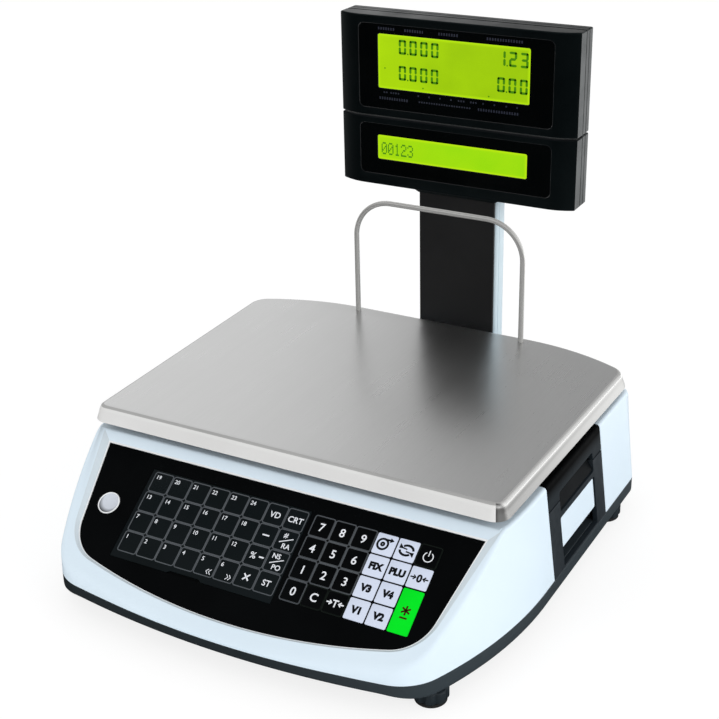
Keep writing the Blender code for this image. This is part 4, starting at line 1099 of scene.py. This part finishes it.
def make_platter():
    outline = tray_outline()
    skirt, top = TRAY_LOW.z, TRAY_HIGH.z
    fold = 2.4
    edge = 5.0
    shape = [(0.0, skirt), (0.9, skirt + 2.6), (1.7, skirt + 4.8)]
    for i in range(9):
        t = i / 8
        shape.append((curve_at(t, fold, fold + 1.0, fold + edge), top - edge * (1 - t) ** 2))
    bm = loft(raised([(offset(outline, inset), z) for inset, z in shape]), False)
    bm.faces.new(ordered_loop(bm, top))
    tray = solid("platter_tray", bm, STEEL, 50.0)
    mod = tray.modifiers.new("sheet", "SOLIDIFY")
    mod.thickness = 1.2 * MM
    mod.offset = -1.0
    settled(tray)
    guard_low, guard_high = span("guard_rail")
    wire = (guard_high.y - guard_low.y) / 2
    y = (guard_high.y + guard_low.y) / 2
    legs = (guard_low.x + wire, guard_high.x - wire)
    holes = [prism(circle(x, y, wire + GAP, 32), 100.0, 140.0) for x in legs]
    carve(tray, joined(holes), STEEL)
    # The tray is one steel sheet; its faces get lit and shaded copies of the steel by their facing: painted
    # light on the skirts and sides, painted shade along the fold and on the lower sides.
    looks = [STEEL, STEEL_SIDE_LIT, STEEL_FOLD_SHADE, STEEL_FACE_LIT, STEEL_LOW_SHADE]
    for look in looks[1:]:
        tray.data.materials.append(look.mat)
    for face in tray.data.polygons:
        normal = face.normal
        if normal.z >= 0.985:
            continue
        frontal = normal.y < -0.1 and normal.x < 0.5 * abs(normal.y)
        if normal.y < 0.5 and (normal.x < -0.1 or frontal):
            look = STEEL_FOLD_SHADE if normal.z > 0.72 else STEEL_FACE_LIT
        else:
            look = STEEL_LOW_SHADE if normal.z < 0.45 else STEEL_SIDE_LIT
        face.material_index = looks.index(look)
    soften(tray, 50.0)
    mount(tray, "platter", ["platter"])


def ordered_loop(bm, level):
    """The boundary loop at one level, in order."""
    edges = [e for e in bm.edges if e.is_boundary and all(abs(v.co.z - level) < 1e-4 for v in e.verts)]
    first = edges[0]
    loop = [first.verts[0], first.verts[1]]
    used = {first}
    while True:
        step = next((e for e in loop[-1].link_edges if e in set(edges) and e not in used), None)
        if step is None:
            break
        used.add(step)
        other = step.other_vert(loop[-1])
        if other is loop[0]:
            break
        loop.append(other)
    return loop


def tube(path, radius, sides=24):
    """Round bar along a path in a plane of constant y."""
    rings = []
    for i, point in enumerate(path):
        along = (Vector(path[min(i + 1, len(path) - 1)]) - Vector(path[max(i - 1, 0)])).normalized()
        across = Vector((0.0, 1.0, 0.0))
        third = along.cross(across)
        ring = [across * radius * math.cos(t) + third * radius * math.sin(t) for t in turns(sides)]
        rings.append([Vector(point) + step for step in ring])
    return loft(rings)


def make_guard():
    low, high = span("guard_rail")
    radius = (high.y - low.y) / 2
    y = (high.y + low.y) / 2
    reach, bend = (high.x - low.x) / 2 - radius, 33.0
    top = high.z - radius
    path = [(reach, y, low.z), (reach, y, low.z + 4.0)]
    path += [(reach - bend + px, y, top - bend + pz) for px, pz in arc((0, 0), bend, 0, math.pi / 2, 20)]
    path += [(-px, py, pz) for px, py, pz in reversed(path)]
    path = [(px + (low.x + high.x) / 2, py, pz) for px, py, pz in path]
    mount(solid("guard_wire", tube(path, radius), WIRE), "guard_rail", ["guard_rail"])


# ---------------------------------------------------------------- pole and display head

def make_pole():
    low, high = span("pole_column")
    outline = rounded_rectangle(low.x, high.x, low.y, high.y, 2.6, 8)
    column = solid("pole_extrusion", prism(outline, low.z, high.z), COLUMN)
    hollow = rounded_rectangle(low.x + 3, high.x - 3, low.y + 3, high.y - 3, 1.5, 4)
    carve(column, prism(hollow, low.z - 10, high.z + 10), COLUMN)
    for side in (low.x, high.x):
        groove = block(side - 0.5, side + 0.5, low.y + 4.6, low.y + 5.4, low.z - 5, high.z + 5)
        carve(column, groove, COLUMN)
    soften(column)
    mount(column, "case", ["pole_column"])
    low, high = span("pole_front_cover")
    cover = solid("pole_face_strip", block(low.x, high.x, low.y, high.y, low.z, high.z), POLE)
    chamfer(cover, 0.8, 3)
    mount(cover, "case", ["pole_front_cover"])


def head_plan(front, rear, inset=0.0, steps=14):
    """Plan of a display housing: its front curves back near both ends."""
    half = HEAD_HIGH.x - inset
    start = HEAD_HIGH.x - HEAD_END
    right = [(0.0, front + inset), (start * 0.5, front + inset), (start, front + inset)]
    for i in range(1, steps + 1):
        x = start + (half - start) * i / steps
        right.append((x, front + inset + HEAD_SWEEP * ((x - start) / (half - start)) ** 2))
    right += [(half, rear)]
    return mirrored(right)


def housing(name, plan, z0, z1, radius):
    return solid(name, rounded_slab(plan, z0, z1, radius), HEAD, 40.0)


def make_housing(unit, window):
    """Front and rear mouldings of one display unit; the rear one steps in twice towards the back."""
    low, high = span(f"display_{unit}_front")
    seam = high.y
    shell = housing(f"display_{unit}_bezel", head_plan(HEAD_LOW.y, seam), low.z, high.z, 1.2)
    carve(shell, prism(head_plan(HEAD_LOW.y, seam + 5.0, 3.0), low.z + 2.5, high.z - 2.5), HEAD)
    x0, x1, z0, z1 = window
    opening = prism(rounded_rectangle(x0, x1, z0, z1, 5.0), HEAD_LOW.y - 5, HEAD_LOW.y + 12, "y")
    carve(shell, opening, HEAD)
    shell.data.materials.append(LINING.mat)
    for face in shell.data.polygons:
        centre = Vector(face.center) / MM
        near = x0 - 0.6 < centre.x < x1 + 0.6 and z0 - 0.6 < centre.z < z1 + 0.6
        on_joint = unit == "lower" and centre.z > high.z - 1.3
        if near and face.normal.y > -0.9 or on_joint:
            face.material_index = 1
    soften(shell, 40.0)
    flats(shell)
    mount(shell, "case", [f"display_{unit}_front"])
    low, high = span(f"display_{unit}_rear")
    front_y, rear_y = low.y, high.y
    shell = solid(f"display_{unit}_back", rear_form(front_y, rear_y, low.z, high.z), HEAD, 40.0)
    half = HEAD_HIGH.x - 3.5
    inner = block(-half, half, front_y - 5.0, rear_y - 3.0, low.z + 3.5, high.z - 3.5)
    carve(shell, inner, HEAD)
    recess = prism(rounded_rectangle(-x1, -x0, z0, z1, 5.0), rear_y - 1.2, rear_y + 5, "y")
    carve(shell, recess, HEAD)
    soften(shell, 40.0)
    flats(shell)
    mount(shell, "case", [f"display_{unit}_rear"])


def rear_form(front_y, rear_y, z0, z1):
    """Rear moulding along y: deep seam groove, a strip, a fine groove, and a rounded back edge."""
    half = HEAD_HIGH.x
    sections = [(1.3, front_y), (1.3, front_y + 0.8), (0.05, front_y + 1.0), (0.05, front_y + 6.2),
                (0.55, front_y + 6.4), (0.55, front_y + 7.0), (0.05, front_y + 7.2), (0.05, rear_y - 1.6),
                (0.3, rear_y - 0.7), (0.9, rear_y - 0.15), (1.6, rear_y)]
    rings = []
    for inset, y in sections:
        rings.append((rounded_rectangle(-half + inset, half - inset, z0 + inset, z1 - inset, 1.2, 4), y))
    return loft(upright(rings))


GLOWS = {"upper": ((0.375, 0.64, 0.002), (0.30, 0.53, 0.002), (0.46, 0.77, 0.003)),
         "lower": ((0.35, 0.66, 0.003), (0.29, 0.68, 0.003), (0.48, 0.79, 0.004))}


def make_lens(unit, window_low, window_high):
    """Dark window plate with a rounded opening over the display glass."""
    lens = f"{unit}_lens"
    low, high = span(f"{unit}_lcd")
    outline = rounded_rectangle(window_low.x, window_high.x, window_low.z, window_high.z, 5.0)
    plate_mesh = rounded_along_y(outline, window_low.y, window_high.y, 0.25)
    glass = solid(f"{unit}_window", plate_mesh, LENS)
    sight = prism(rounded_rectangle(low.x - GAP, high.x + GAP, low.z - GAP, high.z + GAP, 1.6, 6),
                  low.y - 6, high.y + 6, "y")
    carve(glass, sight, LENS)
    glass.data.materials.append(LINING.mat)
    for face in glass.data.polygons:
        face.material_index = 0 if face.normal.y < -0.95 else 1
    soften(glass)
    flats(glass)
    mount(glass, "case", [lens])
    look = glowing(f"{unit}_glow", low, high, GLOWS[unit])
    body = rounded_along_y(rounded_rectangle(low.x, high.x, low.z, high.z, 1.5, 6), low.y, high.y, 0.1)
    mount(solid(f"{unit}_display_glass", body, look), "case", [f"{unit}_lcd"])


def rounded_along_y(outline, y0, y1, edge):
    """Plate facing -Y with a small rounding on its front edge."""
    rings = [(offset(outline, edge), y0), (offset(outline, 0.3 * edge), y0 + 0.3 * edge)]
    return loft(upright(rings + [(outline, y0 + edge), (outline, y1)]))


SEGMENTS = {"0": "abcdef", "1": "bc", "2": "abged", "3": "abgcd", "4": "fgbc", "5": "afgcd", "6": "afgedc",
            "7": "abc", "8": "abcdefg", "9": "abcdfg"}


def printed(outline, y, proud=PRINT):
    """Thin print on a window that faces -Y."""
    return prism(outline, y - proud, y + 0.02, "y")


def digit(char, x, z, width, height, t, y):
    """Seven-segment digit standing at x, z, with bars of thickness t."""
    half = height / 2
    g = 0.1
    right, top, middle = x + width, z + height, z + half
    bars = {"a": (x, top - t, right, top), "b": (right - t, middle, right, top),
            "c": (right - t, z, right, middle), "d": (x, z, right, z + t),
            "e": (x, z, x + t, middle), "f": (x, middle, x + t, top),
            "g": (x + t * 0.4, middle - t / 2, right - t * 0.4, middle + t / 2)}
    parts = []
    for name in SEGMENTS[char]:
        ax, az, bx, bz = bars[name]
        cut = t * 0.45
        if name in "adg":
            shape = [(ax + g, (az + bz) / 2), (ax + g + cut, az), (bx - g - cut, az), (bx - g, (az + bz) / 2),
                     (bx - g - cut, bz), (ax + g + cut, bz)]
        else:
            shape = [((ax + bx) / 2, az + g), (bx, az + g + cut), (bx, bz - g - cut), ((ax + bx) / 2, bz - g),
                     (ax, bz - g - cut), (ax, az + g + cut)]
        parts.append(printed(shape, y))
    return parts


def readout(text, right_edge, z, y, width=6.9, height=12.3, thick=2.0, pitch=9.9):
    """Digits from right to left, with decimal points between them."""
    parts = []
    x = right_edge - width
    for char in reversed(text):
        if char == ".":
            dot = x + pitch - (pitch - width) / 2 - 0.6 - 0.1
            parts.append(printed(rounded_rectangle(dot, dot + 1.3, z, z + 1.3, 0.3, 2), y))
            continue
        parts += digit(char, x, z, width, height, thick, y)
        x -= pitch
    return parts


def four_readouts(low, high, y):
    """The weight, price and total fields of a display whose glass spans low to high."""
    parts = readout("0.000", low.x + 56.0, high.z - 15.6, y)
    parts += readout("0.000", low.x + 55.8, high.z - 37.4, y)
    parts += readout("1.23", high.x - 1.5, high.z - 16.1, y)
    parts += readout("0.00", high.x - 1.6, high.z - 37.6, y)
    return parts


def make_readouts():
    low, high = span("upper_lcd")
    y = low.y
    parts = four_readouts(low, high, y)
    marks = ((low.x + 6.3, high.z - 28.4, 0), (low.x + 41.7, low.z + 3.4, -90),
             (low.x + 101.3, low.z + 3.2, -90))
    for x, z, turn in marks:
        corners = [math.radians(corner + turn) for corner in (0, 120, 240)]
        parts.append(printed([(x + math.cos(a), z + math.sin(a)) for a in corners], y))
    mount(solid("upper_segments", joined(parts), SEGMENT), "case")
    low, high = span("lower_lcd")
    dots = []
    for index, char in enumerate("00123"):
        dots += dot_digit(char, low.x + 3.4 + index * 6.2, low.z + 4.3, low.y)
    mount(solid("lower_dots", joined(dots), SEGMENT_GHOST), "case")


DOT_ROWS = {"0": ("01110", "10001", "10011", "10101", "11001", "10001", "01110"),
            "1": ("00100", "01100", "00100", "00100", "00100", "00100", "01110"),
            "2": ("01110", "10001", "00001", "00110", "01000", "10000", "11111"),
            "3": ("01110", "10001", "00001", "00110", "00001", "10001", "01110")}


def dot_digit(char, x, z, y, pitch=1.12, size=0.98):
    parts = []
    for row, bits in enumerate(DOT_ROWS[char]):
        for column, bit in enumerate(bits):
            if bit == "1":
                a, b = x + column * pitch * 0.95, z + (6 - row) * pitch * 1.38
                right, top = a + size, b + size * 1.45
                parts.append(printed([(a, b), (right, b), (right, top), (a, top)], y))
    return parts


def make_window_marks():
    """Short plain bars where a display window carries its printed captions."""
    low, high = span("upper_lcd")
    y = span("upper_lens")[0].y
    bars = []
    captions = ((0.5, 16.0), (25.0, 42.0), (56.0, 74.0), (99.0, 131.0))
    signs = ((5.0, 9.0), (11.5, 20.5), (37.0, 39.5), (47.0, 49.5), (57.0, 59.5), (67.0, 69.5),
             (74.0, 81.0), (85.0, 92.0), (96.0, 98.0), (106.0, 108.0), (116.5, 118.0), (126.0, 127.5))
    rows = ((high.z + 3.6, 2.2, captions), (low.z - 4.0, 1.4, signs),
            (low.z - 9.6, 2.2, ((1.0, 29.0), (92.0, 128.0))), (low.z - 9.0, 1.3, ((38.0, 86.0),)))
    for z, tall, spans in rows:
        for x, end in spans:
            while x < end - 0.6:
                left, right = low.x + x, low.x + x + min(1.3, end - x)
                bars.append(printed([(left, z), (right, z), (right, z + tall), (left, z + tall)], y, 0.03))
                x += 2.3
    mount(solid("window_print", joined(bars), INK_DIM), "case")


def make_neck():
    """Collar between the pole and the underside of the head."""
    top = span("display_lower_front")[0].z
    foot = rounded_rectangle(-36.4, 36.4, 185.2, 207.0, 1.5, 4)
    flange = rounded_rectangle(-41.0, 41.0, 183.0, 208.5, 1.5, 4)
    collar = loft(raised([(foot, top - 4.0), (flange, top - 0.4), (flange, top - 0.02)]))
    mount(flats(solid("neck_collar", collar, HEAD)), "case")


def make_customer_side():
    """Window and display glass on the back of each unit, facing the customer."""
    rear_y = HEAD_HIGH.y
    for unit in ("upper", "lower"):
        low, high = span(f"{unit}_lens")
        face = rear_y - 0.35
        outline = rounded_rectangle(low.x + 0.3, high.x - 0.3, low.z + 0.3, high.z - 0.3, 4.6)
        pane = loft(upright([(outline, rear_y - 1.15), (outline, face - 0.3), (offset(outline, 0.3), face)]))
        mount(flats(solid(f"{unit}_customer_window", pane, LENS)), "case")
        a, b = span(f"{unit}_lcd")
        outline = rounded_rectangle(-b.x, -a.x, a.z, b.z, 1.5)
        glow = glowing(f"{unit}_customer_glow", Vector((-b.x, 0, a.z)), Vector((-a.x, 0, b.z)), GLOWS[unit])
        pane = prism(outline, face - 0.2, face + 0.04, "y")
        mount(solid(f"{unit}_customer_glass", pane, glow), "case")
        if unit == "upper":
            digits = joined(four_readouts(a, b, 0.0))
            bmesh.ops.rotate(digits, verts=digits.verts, matrix=Matrix.Rotation(math.pi, 3, "Z"))
            bmesh.ops.translate(digits, verts=digits.verts, vec=(0.0, face + 0.06, 0.0))
            mount(solid("customer_segments", digits, SEGMENT), "case")


def make_head():
    """Both display units. They are kept out of mirror reflections, as the platter shows only the pole."""
    earlier = set(bpy.data.objects)
    make_window_marks()
    make_neck()
    make_customer_side()
    for unit in ("upper", "lower"):
        low, high = span(f"{unit}_lens")
        make_housing(unit, (low.x - GAP, high.x + GAP, low.z - GAP, high.z + GAP))
        make_lens(unit, low, high)
    make_readouts()
    for obj in set(bpy.data.objects) - earlier:
        obj.visible_glossy = False


# ---------------------------------------------------------------- label printer

def side_x(z):
    """Half width of the leaning flank at a height."""
    return CASE_SIDE - SIDE_LEAN * (z - BAND_TOP)


def cover_section():
    """Outer and inner line of the printer cover, from the door up and over the shoulder."""
    low, top = COVER_LOW.z + 0.3, DECK_TOP
    corner = side_x(top)
    outer = [(side_x(low), low)]
    for i in range(9):
        t = i / 8
        x = curve_at(t, side_x(top - SIDE_SHOULDER), corner, corner - SIDE_SHOULDER)
        outer.append((x, curve_at(t, top - SIDE_SHOULDER, top, top)))
    outer.append((COVER_LOW.x, top))
    inner = [(COVER_LOW.x, top - 4.0), (corner - 7.5, top - 4.0), (side_x(low) - 4.0, low)]
    return outer + inner


def hood_look():
    """The door's plastic with painted shade: darker and less shiny towards the top, under the platter."""
    look = moulded("hood_plastic", (0.010, 0.016, 0.021), (0.014, 0.020, 0.026), 0.5, 0.15, 0.45, 0.02)
    shade = look.remap(look.axes()["Z"], 0.0, 1.0, (DECK_TOP - 14.0) * MM, (DECK_TOP - 5.0) * MM)
    look.set("Base Color", look.mix(shade, (0.012, 0.018, 0.023), (0.0015, 0.0018, 0.002)))
    look.set("Specular IOR Level", look.remap(shade, 0.15, 0.02, 0.0, 1.0))
    return look


SLOT = (FLAP_LOW.y + 0.5, FLAP_HIGH.y + 1.0, 71.5, 87.5)


def flank_piece(name, section, look):
    """Moulding of the printer's flank with the label slot through it."""
    piece = solid(name, prism(section, COVER_LOW.y + FLANK_GAP, COVER_HIGH.y - FLANK_GAP, "y"), look)
    carve(piece, prism(rounded_rectangle(*SLOT, 2.0, 6), BAY_SIDE, BEYOND, "x"), look)
    return piece


def finish_flank(piece, body, node):
    soften(piece)
    chamfer(piece, 0.5, 2, 50.0)
    mount(piece, body, [node])


def make_printer_cover():
    finish_flank(flank_piece("printer_hood", cover_section(), hood_look()), "case", "printer_cover")


def make_cassette():
    low, top = CASSETTE_LOW.z, CASSETTE_HIGH.z - 0.45
    section = [(side_x(low) - 4.0, low), (side_x(low), low), (side_x(top), top), (side_x(top) - 4.0, top)]
    door = flank_piece("cassette_door", section, DOOR)
    opening = rounded_rectangle(SLOT[0] - 1.5, SLOT[1] + 0.5, 26.8, FLAP_HIGH.z + 0.8, 1.6, 6)
    carve(door, prism(opening, BAY_SIDE, BEYOND, "x"), DOOR)
    finish_flank(door, "cassette", "cassette")
    y0, y1 = SLOT[0] - 8.0, SLOT[1] + 7.0
    frame_parts = [block(96.0, 176.0, y0, y0 + 3.0, low + 1.0, 74.0),
                   block(96.0, 176.0, y1 - 3.0, y1, low + 1.0, 74.0),
                   block(96.0, 180.0, y0 + 3.05, y1 - 3.05, low + 0.3, low + 2.0),
                   block(160.0, 162.5, y0 + 3.05, y1 - 3.05, low + 2.05, 68.5),
                   block(162.6, 176.0, y0 + 3.05, y1 - 3.05, 67.4, 69.2)]
    carrier = solid("cassette_carrier", joined(frame_parts), BLACK)
    chamfer(carrier, 0.4, 2)
    mount(carrier, "cassette")


def make_door_inside():
    """Sloping dark label chute behind the slot, a near-black sheet of painted shade at its back, and the
    latch pin below the lever.
    """
    y0, y1 = SLOT[0] + 0.2, SLOT[1] - 0.2
    x = side_x(SLOT[2])
    section = [(x - 9.0, 72.6), (x - 1.3, 72.6), (x - 1.3, 73.3), (x - 6.5, 82.3), (x - 9.0, 82.6)]
    mount(flats(solid("label_chute", prism(section, y0, y1, "y"), LINING)), "cassette")
    # A thin near-black sheet at the back of the slot stands for the shade inside it: painted shade.
    shade_sheet = block(x - 9.6, x - 9.1, y0 - 1.0, y1 + 1.0, 72.0, 90.0)
    mount(solid("slot_painted_shade", shade_sheet, CAVITY_SHADE), "cassette")
    pin = prism(circle(SLOT[1] - 8.0, 37.0, 1.5, 20), 162.6, 171.5, "x")
    mount(solid("latch_pin", pin, SCREW), "cassette")


def make_rear_details():
    """Connectors, vents, screws and a blank plate on the back of the case."""
    wall = CASE_REAR
    sockets = []
    sizes = ((-120.0, 27.0, 20.0, 36.0), (-80.0, 16.0, 13.5, 38.0), (-56.0, 16.0, 13.5, 38.0),
             (-34.0, 12.0, 6.0, 42.0))
    for x, wide, tall, z in sizes:
        outer = rounded_rectangle(x - wide / 2, x + wide / 2, z, z + tall, 1.2, 5)
        inner = rounded_rectangle(x - wide / 2 + 1.4, x + wide / 2 - 1.4, z + 1.4, z + tall - 1.4, 0.6, 5)
        rim = [(outer, wall - 1.0), (outer, wall + 0.7), (offset(outer, 0.3), wall + 0.9)]
        sockets.append(loft(upright(rim + [(inner, wall + 0.9), (inner, wall + 0.35)])))
    mount(flats(solid("rear_connectors", joined(sockets), BLACK)), "case")
    # The vent slots are not cut: near-black patches on the wall stand for their shaded insides, painted
    # shade.
    vents = []
    for i in range(9):
        x = 62.0 + 6.5 * i
        vents.append(prism(rounded_rectangle(x, x + 2.6, 40.0, 74.0, 1.2, 5), wall - 0.5, wall + 0.12, "y"))
    mount(solid("rear_vents", joined(vents), CAVITY_SHADE), "case")
    screws = []
    for x, z in ((-150.0, 33.0), (150.0, 33.0), (-58.0, 33.0), (58.0, 33.0)):
        head = ((3.2, -0.5), (3.2, 0.3), (2.6, 0.75), (1.5, 0.8), (1.5, 0.2))
        screws.append(loft(upright([(circle(x, z, radius, 28), wall + out) for radius, out in head])))
    mount(solid("rear_screws", joined(screws), SCREW), "case")
    plate_outline = rounded_rectangle(-20.0, 34.0, 78.0, 96.0, 1.5, 5)
    mount(solid("rear_plate", prism(plate_outline, wall - 0.3, wall + 0.15, "y"), SILVER), "case")


def make_flap():
    low, high = FLAP_LOW, FLAP_HIGH
    z0, z1 = low.z, high.z
    inset = 0.8
    outline = rounded_rectangle(low.y, high.y, z0, z1, 1.8, 6)
    rings = []
    for shrink, depth in ((0.0, inset + 2.4), (0.0, inset + 0.5), (0.15, inset + 0.15), (0.5, inset)):
        rings.append([(side_x(z) - depth, y, z) for y, z in offset(outline, shrink)])
    flap = flats(solid("release_lever", loft(rings), WHITE))
    mount(flap, "release_flap", ["release_flap"])


# ---------------------------------------------------------------- inner parts

def dress(node, body, look, width=0.0):
    """Stand an evenly shaded copy in for a CAD node, with rounded edges if asked."""
    piece = bpy.data.objects.new(node + "_finish", NODES[node].data.copy())
    bpy.context.scene.collection.objects.link(piece)
    piece.data.materials.clear()
    piece.data.materials.append(look.mat)
    soften(piece, 30.0)
    if width:
        chamfer(piece, width)
    mount(piece, body, [node])


def dress_inner_parts():
    dress("pole_bracket", "case", BLACK, 1.2)
    dress("load_cell", "case", ALLOY, 0.4)
    dress("platter_support", "platter_support", ALLOY, 0.4)
    dress("main_board", "case", BOARD)
    dress("power_supply", "case", ALLOY, 0.6)
    dress("print_head", "case", ALLOY, 0.3)
    dress("platen_roller", "platen_roller", RUBBER)
    dress("label_roll", "label_roll", PAPER)
    dress("take_up_spool", "take_up_spool", BLACK)


# ---------------------------------------------------------------- stage

CAMERA_PLACE = (0.50838, -0.89925, 0.63812)
CAMERA_YAW = math.radians(29.25)
CAMERA_PITCH = math.radians(-25.07)
CAMERA_ROLL = math.radians(-1.33)
FOCAL_LENGTH = 73.78
SENSOR = 36.0


def make_camera():
    data = bpy.data.cameras.new("camera")
    data.lens = FOCAL_LENGTH
    data.sensor_width = SENSOR
    data.shift_x = 0.0017
    camera = bpy.data.objects.new("camera", data)
    level = Vector((-math.sin(CAMERA_YAW), math.cos(CAMERA_YAW), 0.0))
    forward = level * math.cos(CAMERA_PITCH) + Vector((0.0, 0.0, math.sin(CAMERA_PITCH)))
    turn = forward.to_track_quat("-Z", "Y") @ Quaternion((0.0, 0.0, 1.0), CAMERA_ROLL)
    camera.rotation_mode = "QUATERNION"
    camera.rotation_quaternion = turn
    camera.location = CAMERA_PLACE
    bpy.context.scene.collection.objects.link(camera)
    bpy.context.scene.camera = camera


def area_light(name, place, target, size, power, colour=(1.0, 1.0, 1.0)):
    """Soft box that lights matt surfaces only, so it never shows as a glare."""
    data = bpy.data.lights.new(name, "AREA")
    data.shape = "RECTANGLE"
    data.size, data.size_y = size
    data.energy = power
    data.color = colour
    light = bpy.data.objects.new(name, data)
    light.location = place
    light.rotation_euler = (Vector(target) - Vector(place)).to_track_quat("-Z", "Y").to_euler()
    light.visible_glossy = False
    bpy.context.scene.collection.objects.link(light)


def make_lights():
    area_light("soft_right", (2.1, -0.3, 0.8), (0.0, 0.0, 0.1), (1.4, 1.2), 12.5)
    area_light("soft_front", (-1.0, -2.0, 0.9), (0.0, 0.0, 0.1), (1.8, 1.0), 5.0)


HORIZON_LIGHT = 1.25
ZENITH_LIGHT = 0.62


def make_world():
    """White studio, brighter round the horizon.

    Mirror reflections see a dark front and a bright, uneven back.
    """
    world = bpy.data.worlds.new("studio")
    world.use_nodes = True
    tree = world.node_tree
    back = tree.nodes["Background"]
    back.inputs["Color"].default_value = (1.0, 1.0, 1.0, 1.0)
    where = tree.nodes.new("ShaderNodeTexCoord")
    split = tree.nodes.new("ShaderNodeSeparateXYZ")
    tree.links.new(where.outputs["Generated"], split.inputs[0])

    def ramp(axis, start, end, low, high):
        made = tree.nodes.new("ShaderNodeMapRange")
        made.interpolation_type = "SMOOTHSTEP"
        tree.links.new(split.outputs[axis], made.inputs["Value"])
        for name, value in (("From Min", start), ("From Max", end), ("To Min", low), ("To Max", high)):
            made.inputs[name].default_value = value
        return made.outputs[0]

    def combine(operation, first, second):
        made = tree.nodes.new("ShaderNodeMath")
        made.operation = operation
        tree.links.new(first, made.inputs[0])
        tree.links.new(second, made.inputs[1])
        return made.outputs[0]

    def pick(flag, plain, flagged):
        made = tree.nodes.new("ShaderNodeMix")
        tree.links.new(flag, made.inputs["Factor"])
        for slot, value in ((2, plain), (3, flagged)):
            if isinstance(value, float):
                made.inputs[slot].default_value = value
            else:
                tree.links.new(value, made.inputs[slot])
        return made.outputs[0]

    across = combine("ADD", ramp("X", -0.50, -0.36, 1.0, 0.46), ramp("X", 0.15, 0.4, 0.0, 0.3))
    mirror = combine("MULTIPLY", ramp("Y", -0.1, 0.5, 0.03, 1.0), across)
    mirror = combine("ADD", mirror, ramp("X", 0.45, 0.8, 0.0, 0.4))
    behind = combine("MULTIPLY", ramp("Y", -0.35, -0.15, 0.4, 0.0), ramp("Z", 0.2, 0.35, 0.0, 1.0))
    mirror = combine("ADD", mirror, behind)
    soft = ramp("Z", 0.0, 0.95, HORIZON_LIGHT, ZENITH_LIGHT)
    paths = tree.nodes.new("ShaderNodeLightPath")
    strength = pick(paths.outputs["Is Glossy Ray"], soft, mirror)
    strength = pick(paths.outputs["Is Camera Ray"], strength, 1.0)
    tree.links.new(strength, back.inputs["Strength"])
    bpy.context.scene.world = world


def make_floor():
    """White floor with a faint contact shadow; its near half is dark in mirror reflections."""
    bm = bmesh.new()
    bmesh.ops.create_grid(bm, x_segments=2, y_segments=2, size=6000.0)
    look = Look("studio_floor", (0.93, 0.94, 0.95), 0.6, specular=0.0)
    axes = look.axes()
    x, y = axes["X"], axes["Y"]
    paths = look.node("ShaderNodeLightPath")
    camera, mirror = paths.outputs["Is Camera Ray"], paths.outputs["Is Glossy Ray"]
    speckle = look.mix(look.remap(look.noise(3.0, 3.0), 0.0, 1.0), (0.90, 0.91, 0.92), (0.94, 0.945, 0.95))
    tint = look.mix(camera, speckle, (0.26, 0.26, 0.26))
    look.set("Base Color", look.mix(mirror, tint, (0.0, 0.0, 0.0)))
    look.set("Roughness", look.remap(look.noise(20.0, 2.0), 0.5, 0.7))
    far = look.times(look.remap(y, 0.0, 1.0, 0.1, 0.7), look.remap(x, 0.6, 1.9, -0.3, 0.5))
    side = look.times(look.remap(x, 0.35, 0.0, -0.9, -0.5), look.remap(y, 0.0, 1.0, -0.5, 0.1))
    right = look.times(look.remap(x, 1.0, 0.0, 0.38, 0.46), look.remap(y, 0.0, 1.0, -0.44, -0.34))
    right = look.times(look.remap(x, 0.0, 0.7, 0.19, 0.25), right, look.remap(y, 1.0, 0.0, -0.1, 0.2))
    glow = look.times(mirror, look.add(far, side, right))
    look.set("Emission Strength", look.add(glow, look.times(camera, 0.80)))
    look.set("Emission Color", (1.0, 1.0, 1.0))
    floor = solid("floor", bm, look)


def build():
    bpy.context.scene.view_settings.view_transform = "Standard"
    make_base()
    make_top_case()
    make_feet()
    make_panel()
    make_panel_trim()
    make_preset_sheet()
    make_keys()
    make_level()
    make_platter()
    make_guard()
    make_pole()
    make_head()
    make_printer_cover()
    make_cassette()
    make_flap()
    make_door_inside()
    make_rear_details()
    dress_inner_parts()
    make_world()
    make_floor()
    make_lights()
    make_camera()


build()
